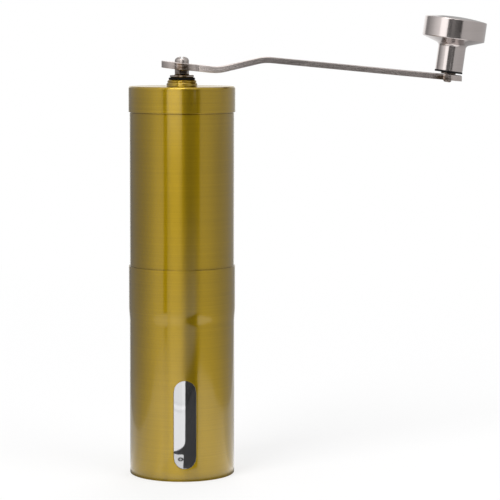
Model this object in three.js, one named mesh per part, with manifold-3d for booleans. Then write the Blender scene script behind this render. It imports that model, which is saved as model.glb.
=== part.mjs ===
// A slim manual coffee grinder: a tubular body in two halves, with a conical ceramic burr set between them,
// a slip-on lid, and a cranked handle that lifts off the shaft. The lower half catches the grounds and has
// a window.
// Millimetres, +Z up. The origin is the centre of the base, and the handle points along +X.

import * as THREE from "three";
import { mergeVertices } from "three/addons/utils/BufferGeometryUtils.js";
import Module from "manifold-3d";

const wasm = await Module();
wasm.setup();

const degrees = Math.PI / 180;

// Clearances
const slip = 0.1; // radial, between pieces pushed together by hand
const running = 0.08; // radial, between pieces that turn in each other
const seat = 0.1; // axial, between faces that rest on each other
const overshoot = 1; // how far a cutting shape reaches past what it cuts

// Sheet metal body
const wall = 0.45;
const tubeRadius = 24.65;
const upperTubeLength = 105.35;
const containerHeight = 99.2;
const mouthDepth = 21.6; // how far the upper tube goes into the container
const swageStep = 0.4; // how much wider the mouth is than the container below it
const swageHeight = 1.5;
const baseThickness = 1;
const baseRim = 1.5; // how far the base's rim stands above its floor

// Window
const windowWidth = 10.2;
const windowLength = 41.6;
const windowAzimuth = 4.9 * degrees; // turned from the front towards the handle
const paneThickness = 1;
const paneMargin = 3; // how far the pane reaches past the window on every side
const baseRimGap = 0.5; // from the base's rim up to the pane

// Lid
const lidSkirt = 11.85;
const lidCorner = 0.8;
const lidInnerCorner = 0.1;
const neckRadius = 6.95; // at its foot
const neckTaper = 0.5; // how much narrower the neck is at its top
const neckHeight = 3.2;
const neckRoll = 0.3;
const grommetWall = 1.35;
const grommetRimReach = 0.2; // how far the rim reaches past the neck's bore
const grommetRimThickness = 0.9;
const grommetLip = 1.2;
const grommetLipReach = 0.6;

// Burr carrier, which is pushed into the lower end of the upper tube
const carrierInset = 0.3;
const carrierWall = 3.7; // around the outer burr
const carrierSkin = 1.4; // above the burr
const ringPocket = 4; // depth of the recess for the retaining ring
const ringWall = 1.5; // around that recess
const ringDepth = 5.8; // radial width of the retaining ring
const ringNotchWidth = 6;
const ringNotchDepth = 1.4;
const lugCount = 3;
const lugReach = 0.7;
const lugThickness = 1.5;
const lugHalfAngle = 6; // in degrees
const lugTurn = 20; // from the lug's entry to its locked place, in degrees
const spokeCount = 3;
const spokeWidth = 4;
const hubRadius = 7.6;
const hubDepth = 10;
const hubRise = 2; // how far the hub stands above the carrier's rim

// Burrs
const outerBurrHeight = 14.8;
const outerBurrWall = 5.6;
const keyWidth = 3;
const keyDepth = 1;
const keyRise = 3; // from the burr's underside to the key
const grindGap = 0.35;
const throatFlare = 0.45; // how much of the inner burr's taper is added to the gap
const innerBurrDrop = 1.6; // how far the inner burr hangs below the outer one
const innerBurrFoot = 2.5; // height of its straight foot
const innerBurrTopRadius = 7.2;
const innerBurrHeight = 16.5;
const coarseTeeth = 6;
const coarseDepth = 2.2;
const fineTeeth = 24;
const fineDepth = 0.6;
const fineShare = 0.8; // how far up the cone the fine teeth reach
const toothTwist = 0.5; // in teeth, over the burr's height

// Shaft and what is on it
const shaftRadius = 3;
const hexEase = 0.12; // how far the hexagons' corners lie inside the round shaft
const threadLength = 14;
const shaftTail = 2; // below the adjusting nut
const hexRise = 3; // how far the lower hexagon reaches above the inner burr
const clipThickness = 0.7;
const clipRadius = 4.6;
const grooveDepth = 0.6;
const bushWall = 1.8;
const bushFlangeReach = 1.5;
const bushFlangeThickness = 1;
const washerRadius = 6;
const washerThickness = 0.6;
const springWire = 1;
const springClearance = 0.9; // from the shaft to the spring's inside
const springLength = 9.4;
const springCurls = 4;
const springEase = 0.2; // how much closer the end curls lie

// Adjusting nut
const nutRadius = 9.2;
const nutLobe = 0.5;
const nutLobes = 8;
const nutHeight = 9.2;
const collarHeight = 2.3;
const insertWall = 1.4;
const clickRadius = 8.3;
const clickThickness = 1;
const clickGrooves = 12;
const clickGrooveWidth = 1;
const clickGrooveDepth = 0.3;

// Crank
const hubFlange = 5.7;
const hubFlangeThickness = 1.15;
const hubFlare = 0.35;
const hubNeckHeight = 3.15;
const hubNeckFlats = 6;
const spigotStep = 0.6; // from the neck's flats in to the spigot's
const sleeveLength = 9.4;
const socketLength = 8.5;
const armThickness = 2.4;
const armWidth = 12;
const armSeatDepth = 0.3; // how far the hub's shoulder is let into the sloping arm
const armSeatThickness = 1.7;
const hubEyeBulge = 3.65; // how far the eye at the hub reaches past the arm's side
const knobEyeBulge = 0.65;
const eyeFillet = 8;
const bendRadius = 9;
const firstBendX = 17.1;
const secondBendX = 38.8;
const knobX = 124.8;
const hubSlope = -6.06 * degrees;
const riseSlope = 13.37 * degrees;
const reachSlope = -5.37 * degrees;
const screwRadius = 1.5;
const screwLength = 5.3;
const screwHead = 3.35;
const screwHeadHeight = 3.4;
const screwSlot = 0.9;
const screwSlotDepth = 1.2;

// Knob
const knobTilt = 7.6 * degrees;
const axleRadius = 1.5;
const axleHead = 1.9;
const axleHeadHeight = 1;
const axleGrooveDepth = 0.4;
const axleTip = 1;
const knobWasherRadius = 3.5;
const knobWasherThickness = 0.7;
const knobShell = 0.6; // sheet thickness
const stemRadius = 6.45;
const stemLength = 12;
const stemFillet = 1.6;
const coneHeight = 3.1;
const capRadius = 14.6;
const capHeight = 9.1;
const capCrown = 1.3;
const capCorner = 0.5;
const coreRim = 0.7;
const coreWall = 2.05; // round the recess
const coreRecess = 4.5; // depth of the recess for the clip, from the core's top

// Facets
const tubeFacets = 64;
const innerFacets = 48;
const midFacets = 32;
const smallFacets = 20;
const burrFacets = 72;
const burrRings = 5;

// Radii and widths that follow from the driving dimensions
const tubeBore = tubeRadius - wall;
const mouthBore = tubeRadius + slip;
const mouthRadius = mouthBore + wall;
const containerRadius = mouthRadius - swageStep;
const containerBore = containerRadius - wall;
const neckTopRadius = neckRadius - neckTaper;
const neckBore = neckTopRadius - wall;
const grommetBody = neckBore - slip;
const grommetBore = grommetBody - grommetWall;
const carrierRadius = tubeBore - slip;
const carrierBore = carrierRadius - carrierWall;
const outerBurrRadius = carrierBore - slip;
const ringBore = carrierRadius - ringWall;
const grindRadius = outerBurrRadius - outerBurrWall;
const innerBurrRadius = grindRadius - grindGap;
const hexFlats = (shaftRadius - hexEase) * Math.sqrt(3);
const socketFlats = hexFlats + 2 * slip;
const threadRadius = hexFlats / 2;
const grooveRadius = shaftRadius - grooveDepth;
const bushBore = shaftRadius + running;
const bushRadius = bushBore + bushWall;
const washerBore = shaftRadius + slip;
const springRadius = shaftRadius + springClearance + springWire / 2; // to the middle of the wire
const insertFlats = 2 * (threadRadius + slip + insertWall);
const sleeveRadius = grommetBore - running;
const spigotFlats = hubNeckFlats - 2 * spigotStep;
const hubEye = armWidth / 2 + hubEyeBulge;
const knobEye = armWidth / 2 + knobEyeBulge;
const coreRadius = stemRadius - knobShell - slip;
const coreRecessRadius = coreRadius - coreWall;
const axleClipRadius = coreRecessRadius - slip;

// Heights that follow from the driving dimensions
const baseRimZ = baseThickness + baseRim;
const paneZ = baseRimZ + baseRimGap;
const windowSill = paneZ + paneMargin;
const seatZ = containerHeight - mouthDepth;
const tubeTopZ = seatZ + upperTubeLength;
const lidUnderZ = tubeTopZ + seat;
const lidTopZ = lidUnderZ + wall;
const neckTopZ = lidTopZ + neckHeight;
const grommetTopZ = neckTopZ + seat + grommetRimThickness;
const carrierZ = seatZ + carrierInset;
const ringTopZ = carrierZ + ringPocket - seat;
const burrZ = carrierZ + ringPocket + seat;
const burrTopZ = burrZ + outerBurrHeight;
const innerBurrZ = burrZ - innerBurrDrop;
const innerBurrTopZ = innerBurrZ + innerBurrHeight;
const clickZ = innerBurrZ - seat;
const nutTopZ = clickZ - seat;
const nutZ = nutTopZ - nutHeight;
const shaftZ = nutZ - shaftTail;
const threadTopZ = shaftZ + threadLength;
const lowerHexTopZ = innerBurrTopZ + hexRise;
const lowerWasherZ = innerBurrTopZ + seat;
const springZ = lowerWasherZ + washerThickness + seat;
const springTopZ = springZ + springLength;
const upperWasherZ = springTopZ + seat;
const hubZ = upperWasherZ + washerThickness + seat;
const hubTopZ = hubZ + hubDepth;
const carrierTopZ = hubTopZ - hubRise;
const bushTopZ = hubTopZ + seat + bushFlangeThickness;
const clipZ = bushTopZ + seat;
const hubFlangeZ = grommetTopZ + seat;
const hubFlangeTopZ = hubFlangeZ + hubFlangeThickness;
const armSeatZ = hubFlangeTopZ + hubNeckHeight;
const armSeatTopZ = armSeatZ + armSeatThickness;
const sleeveZ = hubFlangeZ - sleeveLength;
const shaftTopZ = sleeveZ + socketLength;

// The arm's centre line, as heights over the handle's length
const armAtHub = armSeatZ - armSeatDepth + armThickness / 2 / Math.cos(hubSlope);
const armAtFirstBend = armAtHub + firstBendX * Math.tan(hubSlope);
const armAtSecondBend = armAtFirstBend + (secondBendX - firstBendX) * Math.tan(riseSlope);
const armAtKnob = armAtSecondBend + (knobX - secondBendX) * Math.tan(reachSlope);

// Profiles and outlines

const at = (x, y) => new THREE.Vector2(x, y);

// Points of an arc from one angle to another, in degrees, ends included.
function arc(x, y, radius, from, to, steps = 3) {
  return Array.from({ length: steps + 1 }, (_, i) => {
    const angle = (from + ((to - from) * i) / steps) * degrees;
    return at(x + radius * Math.cos(angle), y + radius * Math.sin(angle));
  });
}

function hexagon(flats) {
  return new THREE.Shape(arc(0, 0, flats / Math.sqrt(3), 0, 300, 5));
}

function circle(radius, facets) {
  return new THREE.Shape(arc(0, 0, radius, 0, 360 - 360 / facets, facets - 1));
}

function rectangle(x0, x1, y0, y1) {
  return new THREE.Shape([at(x0, y0), at(x1, y0), at(x1, y1), at(x0, y1)]);
}

// A bar along X, of a width in Y.
function bar(x0, x1, width) {
  return rectangle(x0, x1, -width / 2, width / 2);
}

// Part of a flat ring, from one angle to another in degrees.
function ringPart(inner, outer, from, to, steps) {
  return new THREE.Shape([...arc(0, 0, outer, from, to, steps), ...arc(0, 0, inner, to, from, steps)]);
}

// Solids

// A closed geometry as a manifold solid.
function solid(geometry) {
  const bare = new THREE.BufferGeometry();
  bare.setAttribute("position", geometry.getAttribute("position").clone());
  if (geometry.index) bare.setIndex(geometry.index.clone());
  const merged = mergeVertices(bare, 1e-4);
  const triangles = [];
  for (let i = 0; i < merged.index.count; i += 3) {
    const [a, b, c] = [0, 1, 2].map((k) => merged.index.getX(i + k));
    if (a !== b && b !== c && a !== c) triangles.push(a, b, c);
  }
  return new wasm.Manifold(
    new wasm.Mesh({
      numProp: 3,
      vertProperties: new Float32Array(merged.attributes.position.array),
      triVerts: new Uint32Array(triangles),
    }),
  );
}

// A profile of [radius, height] points turned round the Z axis.
function turned(profile, facets) {
  const points = profile.map((p) => (p.isVector2 ? p : at(...p)));
  const closed = points[0].x > 0;
  const loop = closed ? [...points, points[0].clone()] : points;
  const geometry = new THREE.LatheGeometry(loop, facets);
  geometry.rotateX(Math.PI / 2);
  return solid(geometry);
}

// An outline in XY raised from one height to another.
function raised(shape, z0, z1) {
  const geometry = new THREE.ExtrudeGeometry(shape, { depth: z1 - z0, bevelEnabled: false });
  geometry.translate(0, 0, z0);
  return solid(geometry);
}

function tube(inner, outer, z0, z1, facets) {
  return turned([[outer, z0], [outer, z1], [inner, z1], [inner, z0]], facets);
}

function rod(radius, z0, z1, facets) {
  return raised(circle(radius, facets), z0, z1);
}

const turnedBy = (shape, angle) => shape.rotate([0, 0, angle / degrees]);

// Copies of a solid at even turns round the Z axis, starting from an angle.
function around(count, shape, start = 0) {
  return Array.from({ length: count }, (_, i) => turnedBy(shape, start + (i * 2 * Math.PI) / count));
}

const together = (solids) => solids.reduce((sum, next) => sum.add(next));

// A solid made of rings at the given heights, whose wall is radius(angle, height), with flat ends.
function stacked(heights, facets, radius) {
  const positions = [];
  const indices = [];
  for (const z of heights) {
    for (let j = 0; j < facets; j++) {
      const angle = (j / facets) * 2 * Math.PI;
      const r = radius(angle, z);
      positions.push(r * Math.cos(angle), r * Math.sin(angle), z);
    }
  }
  const rings = heights.length - 1;
  for (let i = 0; i < rings; i++) {
    for (let j = 0; j < facets; j++) {
      const [a, b] = [i * facets + j, i * facets + ((j + 1) % facets)];
      indices.push(a, b, b + facets, a, b + facets, a + facets);
    }
  }
  const centres = [heights[0], heights[rings]].map((z) => positions.push(0, 0, z) / 3 - 1);
  for (let j = 0; j < facets; j++) {
    const next = (j + 1) % facets;
    indices.push(centres[0], next, j, centres[1], rings * facets + j, rings * facets + next);
  }
  const geometry = new THREE.BufferGeometry();
  geometry.setAttribute("position", new THREE.BufferAttribute(new Float32Array(positions), 3));
  geometry.setIndex(indices);
  return solid(geometry);
}

// Materials

const metal = (color, roughness) => new THREE.MeshStandardMaterial({ color, roughness, metalness: 1 });
const matte = (color, roughness) => new THREE.MeshStandardMaterial({ color, roughness, metalness: 0 });

const goldSteel = () => metal(0xa88d32, 0.35);
const steel = () => metal(0xb4aca6, 0.25);
const brass = () => metal(0xc09a4a, 0.3);
const ceramic = () => matte(0xe9e4d8, 0.5);
const darkPlastic = () => matte(0x232324, 0.5);
const rubber = () => matte(0x141414, 0.7);

function clearPlastic() {
  const material = matte(0xf2f4f4, 0.1);
  material.transparent = true;
  material.opacity = 0.25;
  return material;
}

const grinder = new THREE.Group();

function place(name, shape, material, parent = grinder) {
  const { vertProperties, triVerts } = shape.getMesh();
  const geometry = new THREE.BufferGeometry();
  geometry.setAttribute("position", new THREE.BufferAttribute(vertProperties, 3));
  geometry.setIndex(new THREE.BufferAttribute(triVerts, 1));
  geometry.computeVertexNormals();
  const mesh = new THREE.Mesh(geometry, material);
  mesh.name = name;
  parent.add(mesh);
}

// Container

function containerTube() {
  const body = turned(
    [
      [containerRadius, 0],
      [containerRadius, seatZ - swageHeight],
      [mouthRadius, seatZ],
      [mouthRadius, containerHeight],
      [mouthBore, containerHeight],
      [mouthBore, seatZ - seat],
      [containerBore, seatZ - swageHeight],
      [containerBore, 0],
    ],
    tubeFacets,
  );
  const half = windowWidth / 2;
  const outline = new THREE.Shape([
    ...arc(0, windowSill + windowLength - half, half, 0, 180, 12),
    ...arc(0, windowSill + half, half, 180, 360, 12),
  ]);
  const cutter = new THREE.ExtrudeGeometry(outline, { depth: mouthRadius + overshoot, bevelEnabled: false });
  cutter.rotateX(Math.PI / 2);
  return body.subtract(turnedBy(solid(cutter), windowAzimuth));
}

// A pressed dish with a short rim that stands inside the tube's lower end.
function containerBase() {
  const outer = containerBore - slip / 2;
  return turned(
    [
      [0, 0],
      [outer, 0],
      [outer, baseRimZ],
      [outer - wall, baseRimZ],
      [outer - wall, baseThickness],
      [0, baseThickness],
    ],
    tubeFacets,
  );
}

function windowPane() {
  const outer = containerBore - slip;
  const halfSpan = (windowWidth / 2 + paneMargin) / outer / degrees;
  const strip = ringPart(outer - paneThickness, outer, -90 - halfSpan, -90 + halfSpan, 8);
  return turnedBy(raised(strip, paneZ, windowSill + windowLength + paneMargin), windowAzimuth);
}

place("container_tube", containerTube(), goldSteel());
place("container_base", containerBase(), goldSteel());
place("window_pane", windowPane(), clearPlastic());

// Upper tube and lid

function lid() {
  const corner = [mouthRadius - lidCorner, lidTopZ - lidCorner];
  return turned(
    [
      [mouthRadius, lidTopZ - lidSkirt],
      ...arc(...corner, lidCorner, 0, 90),
      [neckRadius + neckRoll, lidTopZ],
      [neckRadius, lidTopZ + neckRoll],
      [neckRadius - neckTaper / 3, lidTopZ + neckHeight / 2],
      [neckTopRadius, neckTopZ - neckRoll],
      [neckTopRadius - neckRoll, neckTopZ],
      [neckBore, neckTopZ],
      [neckBore, lidUnderZ],
      [mouthBore - lidInnerCorner, lidUnderZ],
      [mouthBore, lidUnderZ - lidInnerCorner],
      [mouthBore, lidTopZ - lidSkirt],
    ],
    tubeFacets,
  );
}

// A bush of soft plastic, snapped into the neck with a rim above and a lip below.
function lidGrommet() {
  const rim = neckBore + grommetRimReach;
  const lip = grommetBody + grommetLipReach;
  const lipTopZ = lidUnderZ - seat;
  return turned(
    [
      [grommetBore, lipTopZ - grommetLip],
      [grommetBody, lipTopZ - grommetLip],
      [lip, lipTopZ - grommetLip / 2],
      [lip, lipTopZ],
      [grommetBody, lipTopZ],
      [grommetBody, neckTopZ + seat],
      [rim, neckTopZ + seat],
      [rim, grommetTopZ - neckRoll],
      [rim - neckRoll, grommetTopZ],
      [grommetBore, grommetTopZ],
    ],
    midFacets,
  );
}

place("upper_tube", tube(tubeBore, tubeRadius, seatZ, tubeTopZ, tubeFacets), goldSteel());
place("lid", lid(), goldSteel());
place("lid_grommet", lidGrommet(), rubber());

// Burr carrier, its retaining ring and the bush in its hub

const lugZ = ringTopZ - lugThickness;

// The room for a lug: an entry from below, and a way to the side of it.
function lugPocket() {
  const reach = ringBore + lugReach + slip;
  const half = lugHalfAngle + 1;
  const turnedLug = raised(
    ringPart(carrierBore, reach, -half, lugTurn + half, 6),
    lugZ - seat,
    carrierZ + ringPocket,
  );
  const entry = raised(
    ringPart(carrierBore, reach, lugTurn - half, lugTurn + half, 3),
    carrierZ - overshoot,
    carrierZ + ringPocket,
  );
  return turnedLug.add(entry);
}

function burrCarrier() {
  const skinBore = carrierRadius - carrierSkin;
  const shelfZ = burrTopZ + seat;
  const throatZ = shelfZ + carrierSkin;
  const shell = turned(
    [
      [carrierRadius, carrierZ],
      [carrierRadius, carrierTopZ],
      [skinBore, carrierTopZ],
      [skinBore, throatZ + (skinBore - grindRadius)],
      [grindRadius, throatZ],
      [grindRadius, shelfZ],
      [carrierBore, shelfZ],
      [carrierBore, carrierZ + ringPocket],
      [ringBore, carrierZ + ringPocket],
      [ringBore, carrierZ],
    ],
    innerFacets,
  );
  const spokePlan = bar(hubRadius - overshoot, carrierRadius - carrierSkin / 2, spokeWidth);
  const spoke = raised(spokePlan, hubZ, carrierTopZ);
  const hub = rod(hubRadius, hubZ, hubTopZ, midFacets);
  const keyPlan = bar(carrierBore - keyDepth, carrierBore + keyDepth, keyWidth);
  const key = raised(keyPlan, burrZ + keyRise, shelfZ + carrierSkin / 2);
  const hubBore = rod(bushRadius + slip, hubZ - overshoot, hubTopZ + overshoot, midFacets);
  return together([shell, hub, ...around(spokeCount, spoke, Math.PI / 2), ...around(lugCount, key)])
    .subtract(hubBore)
    .subtract(together(around(lugCount, lugPocket())));
}

function burrRetainer() {
  const outer = ringBore - slip;
  const inner = outer - ringDepth;
  const lug = raised(
    ringPart(outer - overshoot, outer + lugReach, -lugHalfAngle, lugHalfAngle, 3),
    lugZ,
    ringTopZ,
  );
  const notch = raised(
    bar(inner - overshoot, inner + ringDepth / 2, ringNotchWidth),
    carrierZ - overshoot,
    carrierZ + ringNotchDepth,
  );
  return tube(inner, outer, carrierZ + seat, ringTopZ, innerFacets)
    .add(together(around(lugCount, lug)))
    .subtract(together(around(lugCount, notch, Math.PI / lugCount)));
}

function shaftBush() {
  const flange = bushRadius + bushFlangeReach;
  return turned(
    [
      [bushBore, hubZ],
      [bushRadius, hubZ],
      [bushRadius, hubTopZ + seat],
      [flange, hubTopZ + seat],
      [flange, bushTopZ],
      [bushBore, bushTopZ],
    ],
    midFacets,
  );
}

place("burr_carrier", burrCarrier(), darkPlastic());
place("burr_retainer", burrRetainer(), darkPlastic());
place("shaft_bush", shaftBush(), brass());

// Burrs

const sawtooth = (turns) => turns - Math.floor(turns);
const footTopZ = innerBurrZ + innerBurrFoot;
const upTheBurr = (z) => (z - innerBurrZ) / innerBurrHeight;

// The inner burr's largest radius at a height: a straight foot, then a cone.
function coneRadius(z) {
  const taper = (innerBurrRadius - innerBurrTopRadius) / (innerBurrTopZ - footTopZ);
  return innerBurrRadius - taper * Math.max(0, z - footTopZ);
}

// Even heights from the lowest to the highest, with the foot's top among them.
function burrHeights(lowest, highest) {
  const step = (highest - footTopZ) / (burrRings - 1);
  return [lowest, ...Array.from({ length: burrRings }, (_, i) => footTopZ + i * step)];
}

function innerBurr() {
  const toothed = stacked(burrHeights(innerBurrZ, innerBurrTopZ), burrFacets, (angle, z) => {
    const turns = angle / (2 * Math.PI);
    const share = upTheBurr(z);
    const coarse = Math.min(1, share / fineShare);
    const wave = Math.cos(2 * Math.PI * (coarseTeeth * turns + toothTwist * share));
    const flute = coarseDepth * coarse * (0.5 - 0.5 * wave);
    const tooth = fineDepth * (1 - coarse) * sawtooth(fineTeeth * turns + toothTwist * share);
    return coneRadius(z) - flute - tooth;
  });
  const bore = raised(hexagon(socketFlats), innerBurrZ - overshoot, innerBurrTopZ + overshoot);
  const recess = rod(clickRadius + slip, innerBurrZ - overshoot, innerBurrZ + clickThickness, midFacets);
  return toothed.subtract(bore).subtract(recess);
}

function outerBurr() {
  const throat = stacked(burrHeights(burrZ - overshoot, burrTopZ + overshoot), burrFacets, (angle, z) => {
    const turns = angle / (2 * Math.PI);
    const flare = throatFlare * (innerBurrRadius - coneRadius(z));
    const tooth = fineDepth * sawtooth(fineTeeth * turns - toothTwist * upTheBurr(z));
    return coneRadius(z) + grindGap + flare + tooth;
  });
  const keyway = raised(
    bar(outerBurrRadius - keyDepth, outerBurrRadius + overshoot, keyWidth + 2 * slip),
    burrZ - overshoot,
    burrTopZ + overshoot,
  );
  return rod(outerBurrRadius, burrZ, burrTopZ, innerFacets)
    .subtract(throat)
    .subtract(together(around(lugCount, keyway)));
}

place("outer_burr", outerBurr(), ceramic());
place("inner_burr", innerBurr(), ceramic());

// Shaft, clip, washers and spring

function shaft() {
  const ease = 2 * slip;
  const round = turned(
    [
      [0, shaftZ],
      [threadRadius - ease, shaftZ],
      [threadRadius, shaftZ + ease],
      [threadRadius, lowerHexTopZ],
      [shaftRadius, lowerHexTopZ],
      [shaftRadius, clipZ],
      [grooveRadius, clipZ],
      [grooveRadius, clipZ + clipThickness + seat],
      [shaftRadius, clipZ + clipThickness + seat],
      [shaftRadius, sleeveZ - seat],
      [threadRadius - ease, sleeveZ - seat],
      [threadRadius - ease, shaftTopZ],
      [0, shaftTopZ],
    ],
    smallFacets,
  );
  const lowerHex = raised(hexagon(hexFlats), threadTopZ, lowerHexTopZ + overshoot);
  const upperHex = raised(hexagon(hexFlats), sleeveZ - overshoot, shaftTopZ);
  return together([round, lowerHex, upperHex]);
}

// A flat clip, open on one side, that stands in a groove.
function openClip(groove, outer, z) {
  const [from, to] = [-50, 230];
  return raised(ringPart(groove + slip, outer, from, to, 12), z + seat / 2, z + seat / 2 + clipThickness);
}

// The spring's line, with the end curls closer together.
class SpringLine extends THREE.Curve {
  getPoint(t, target = new THREE.Vector3()) {
    const angle = 2 * Math.PI * springCurls * t;
    const eased = t - (springEase * Math.sin(2 * Math.PI * t)) / (2 * Math.PI);
    const low = springZ + springWire / 2;
    const high = springTopZ - springWire / 2;
    const height = low + (high - low) * eased;
    return target.set(springRadius * Math.cos(angle), springRadius * Math.sin(angle), height);
  }
}

const curlSteps = 12;
const wireSides = 6;

// The smallest space between the wire and the wire of the next curl, measured on points of the line.
function springGap(line) {
  const steps = springCurls * curlSteps;
  const points = line.getPoints(steps);
  let least = Infinity;
  for (let i = 0; i + curlSteps / 2 <= steps; i++) {
    for (let j = i + curlSteps / 2; j <= steps; j++) {
      least = Math.min(least, points[i].distanceTo(points[j]));
    }
  }
  return least - springWire;
}

function burrSpring() {
  const line = new SpringLine();
  console.log("burr_spring's least gap to itself: " + springGap(line).toFixed(2) + " mm");
  const geometry = new THREE.ExtrudeGeometry(circle(springWire / 2, wireSides), {
    steps: springCurls * curlSteps,
    extrudePath: line,
    bevelEnabled: false,
  });
  return solid(geometry);
}

const springWasher = (z) => tube(washerBore, washerRadius, z, z + washerThickness, midFacets);

place("shaft", shaft(), steel());
place("shaft_clip", openClip(grooveRadius, clipRadius, clipZ), steel());
place("upper_spring_washer", springWasher(upperWasherZ), steel());
place("lower_spring_washer", springWasher(lowerWasherZ), steel());
place("burr_spring", burrSpring(), steel());

// Adjusting nut and click plate

function clickPlate() {
  const groove = raised(
    bar(clickRadius / 2, clickRadius + overshoot, clickGrooveWidth),
    clickZ - overshoot,
    clickZ + clickGrooveDepth,
  );
  const plate = tube(washerBore, clickRadius, clickZ, clickZ + clickThickness, midFacets);
  return plate.subtract(together(around(clickGrooves, groove)));
}

function adjustingNut() {
  const steps = 6 * nutLobes;
  const outline = Array.from({ length: steps }, (_, i) => {
    const angle = (i / steps) * 2 * Math.PI;
    const r = nutRadius + nutLobe * Math.cos(nutLobes * angle);
    return at(r * Math.cos(angle), r * Math.sin(angle));
  });
  const collarZ = nutTopZ - collarHeight;
  const grip = raised(new THREE.Shape(outline), nutZ, collarZ);
  const collar = rod(clickRadius, collarZ - overshoot, nutTopZ, midFacets);
  const socket = raised(hexagon(insertFlats + 2 * slip), nutZ - overshoot, nutTopZ + overshoot);
  return grip.add(collar).subtract(socket);
}

function nutInsert() {
  const bore = rod(threadRadius + slip, nutZ - overshoot, nutTopZ + overshoot, smallFacets);
  return raised(hexagon(insertFlats), nutZ, nutTopZ).subtract(bore);
}

place("click_plate", clickPlate(), steel());
place("adjusting_nut", adjustingNut(), darkPlastic());
place("nut_insert", nutInsert(), brass());

// Crank hub, arm and screw

// A sleeve that fits over the shaft's hexagon, with a flange, a hexagonal neck and a spigot for the arm.
function driveHub() {
  const body = turned(
    [
      [0, sleeveZ],
      [sleeveRadius, sleeveZ],
      [sleeveRadius, hubFlangeZ],
      [hubFlange - hubFlare, hubFlangeZ],
      [hubFlange, hubFlangeZ + hubFlare],
      [hubFlange, hubFlangeTopZ - hubFlare],
      [hubFlange - hubFlare, hubFlangeTopZ],
      [hubNeckFlats / 2 + 2 * hubFlare, hubFlangeTopZ],
      [hubNeckFlats / 2, hubFlangeTopZ + hubFlare],
      [0, hubFlangeTopZ + hubFlare],
    ],
    midFacets,
  );
  const neck = raised(hexagon(hubNeckFlats), hubFlangeTopZ - hubFlare, armSeatZ);
  const spigot = raised(hexagon(spigotFlats), armSeatZ - overshoot, armSeatTopZ - seat);
  const socket = raised(hexagon(socketFlats), sleeveZ - overshoot, shaftTopZ + seat);
  const tapping = rod(
    screwRadius + slip,
    armSeatTopZ - screwLength - seat,
    armSeatTopZ + overshoot,
    smallFacets,
  );
  return together([body, neck, spigot]).subtract(socket).subtract(tapping);
}

// The arm's centre line as points [x, z], with an arc at each bend.
function armLine() {
  const slopes = [hubSlope, riseSlope, reachSlope];
  const corners = [at(firstBendX, armAtFirstBend), at(secondBendX, armAtSecondBend)];
  const startX = -hubEye - overshoot;
  const endX = knobX + knobEye + overshoot;
  const points = [at(startX, armAtHub + startX * Math.tan(hubSlope))];
  corners.forEach((corner, i) => {
    const [before, after] = [slopes[i], slopes[i + 1]];
    const side = Math.sign(after - before);
    const setback = bendRadius * Math.tan(Math.abs(after - before) / 2);
    const start = at(corner.x - setback * Math.cos(before), corner.y - setback * Math.sin(before));
    const centreX = start.x - side * bendRadius * Math.sin(before);
    const centreZ = start.y + side * bendRadius * Math.cos(before);
    const toRim = (slope) => (slope - (side * Math.PI) / 2) / degrees;
    points.push(...arc(centreX, centreZ, bendRadius, toRim(before), toRim(after), 4));
  });
  points.push(at(endX, armAtKnob + (endX - knobX) * Math.tan(reachSlope)));
  return points;
}

// Both sides of a line of points, half a thickness away, as one outline.
function thickened(points, thickness) {
  const side = (sign) =>
    points.map((p, i) => {
      const before = points[Math.max(0, i - 1)];
      const after = points[Math.min(points.length - 1, i + 1)];
      const along = at(after.x - before.x, after.y - before.y).normalize();
      return at(p.x - (sign * along.y * thickness) / 2, p.y + (sign * along.x * thickness) / 2);
    });
  return new THREE.Shape([...side(-1), ...side(1).reverse()]);
}

// The arm from above: a straight bar that widens into a round eye at each end.
function armPlan() {
  const across = armWidth / 2 + eyeFillet;
  const fillet = (eye) => {
    const along = Math.sqrt((eye + eyeFillet) ** 2 - across ** 2);
    return { along, angle: Math.atan2(across, along) / degrees };
  };
  const [hub, knob] = [fillet(hubEye), fillet(knobEye)];
  const upper = [
    ...arc(0, 0, hubEye, 180, hub.angle, 10),
    ...arc(hub.along, across, eyeFillet, hub.angle + 180, 270, 3),
    ...arc(knobX - knob.along, across, eyeFillet, 270, 360 - knob.angle, 2),
    ...arc(knobX, 0, knobEye, 180 - knob.angle, 0, 10),
  ];
  const lower = upper.slice(1, -1).map((p) => at(p.x, -p.y));
  return new THREE.Shape([...upper, ...lower.reverse()]);
}

// A shape on the knob's own axis, moved from the origin to where that axis crosses the middle of the arm.
function onKnobAxis(shape) {
  return shape.rotate([0, knobTilt / degrees, 0]).translate([knobX, 0, armAtKnob]);
}

function crankArm() {
  const sheet = new THREE.ExtrudeGeometry(thickened(armLine(), armThickness), {
    depth: 2 * (hubEye + overshoot),
    bevelEnabled: false,
  });
  sheet.rotateX(Math.PI / 2);
  sheet.translate(0, hubEye + overshoot, 0);
  const low = Math.min(armAtKnob, armAtFirstBend) - 2 * armThickness;
  const high = armAtSecondBend + 2 * armThickness;
  const neckCorner = hubNeckFlats / Math.sqrt(3) + 2 * slip;
  const cuts = together([
    rod(screwHead + 2 * slip, armSeatTopZ, high, smallFacets),
    rod(neckCorner, low, armSeatZ + seat / 2, smallFacets),
    raised(hexagon(spigotFlats + 2 * slip), low, high),
    onKnobAxis(rod(axleRadius + slip, -2 * armThickness, 2 * armThickness, smallFacets)),
  ]);
  return solid(sheet).intersect(raised(armPlan(), low, high)).subtract(cuts);
}

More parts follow.
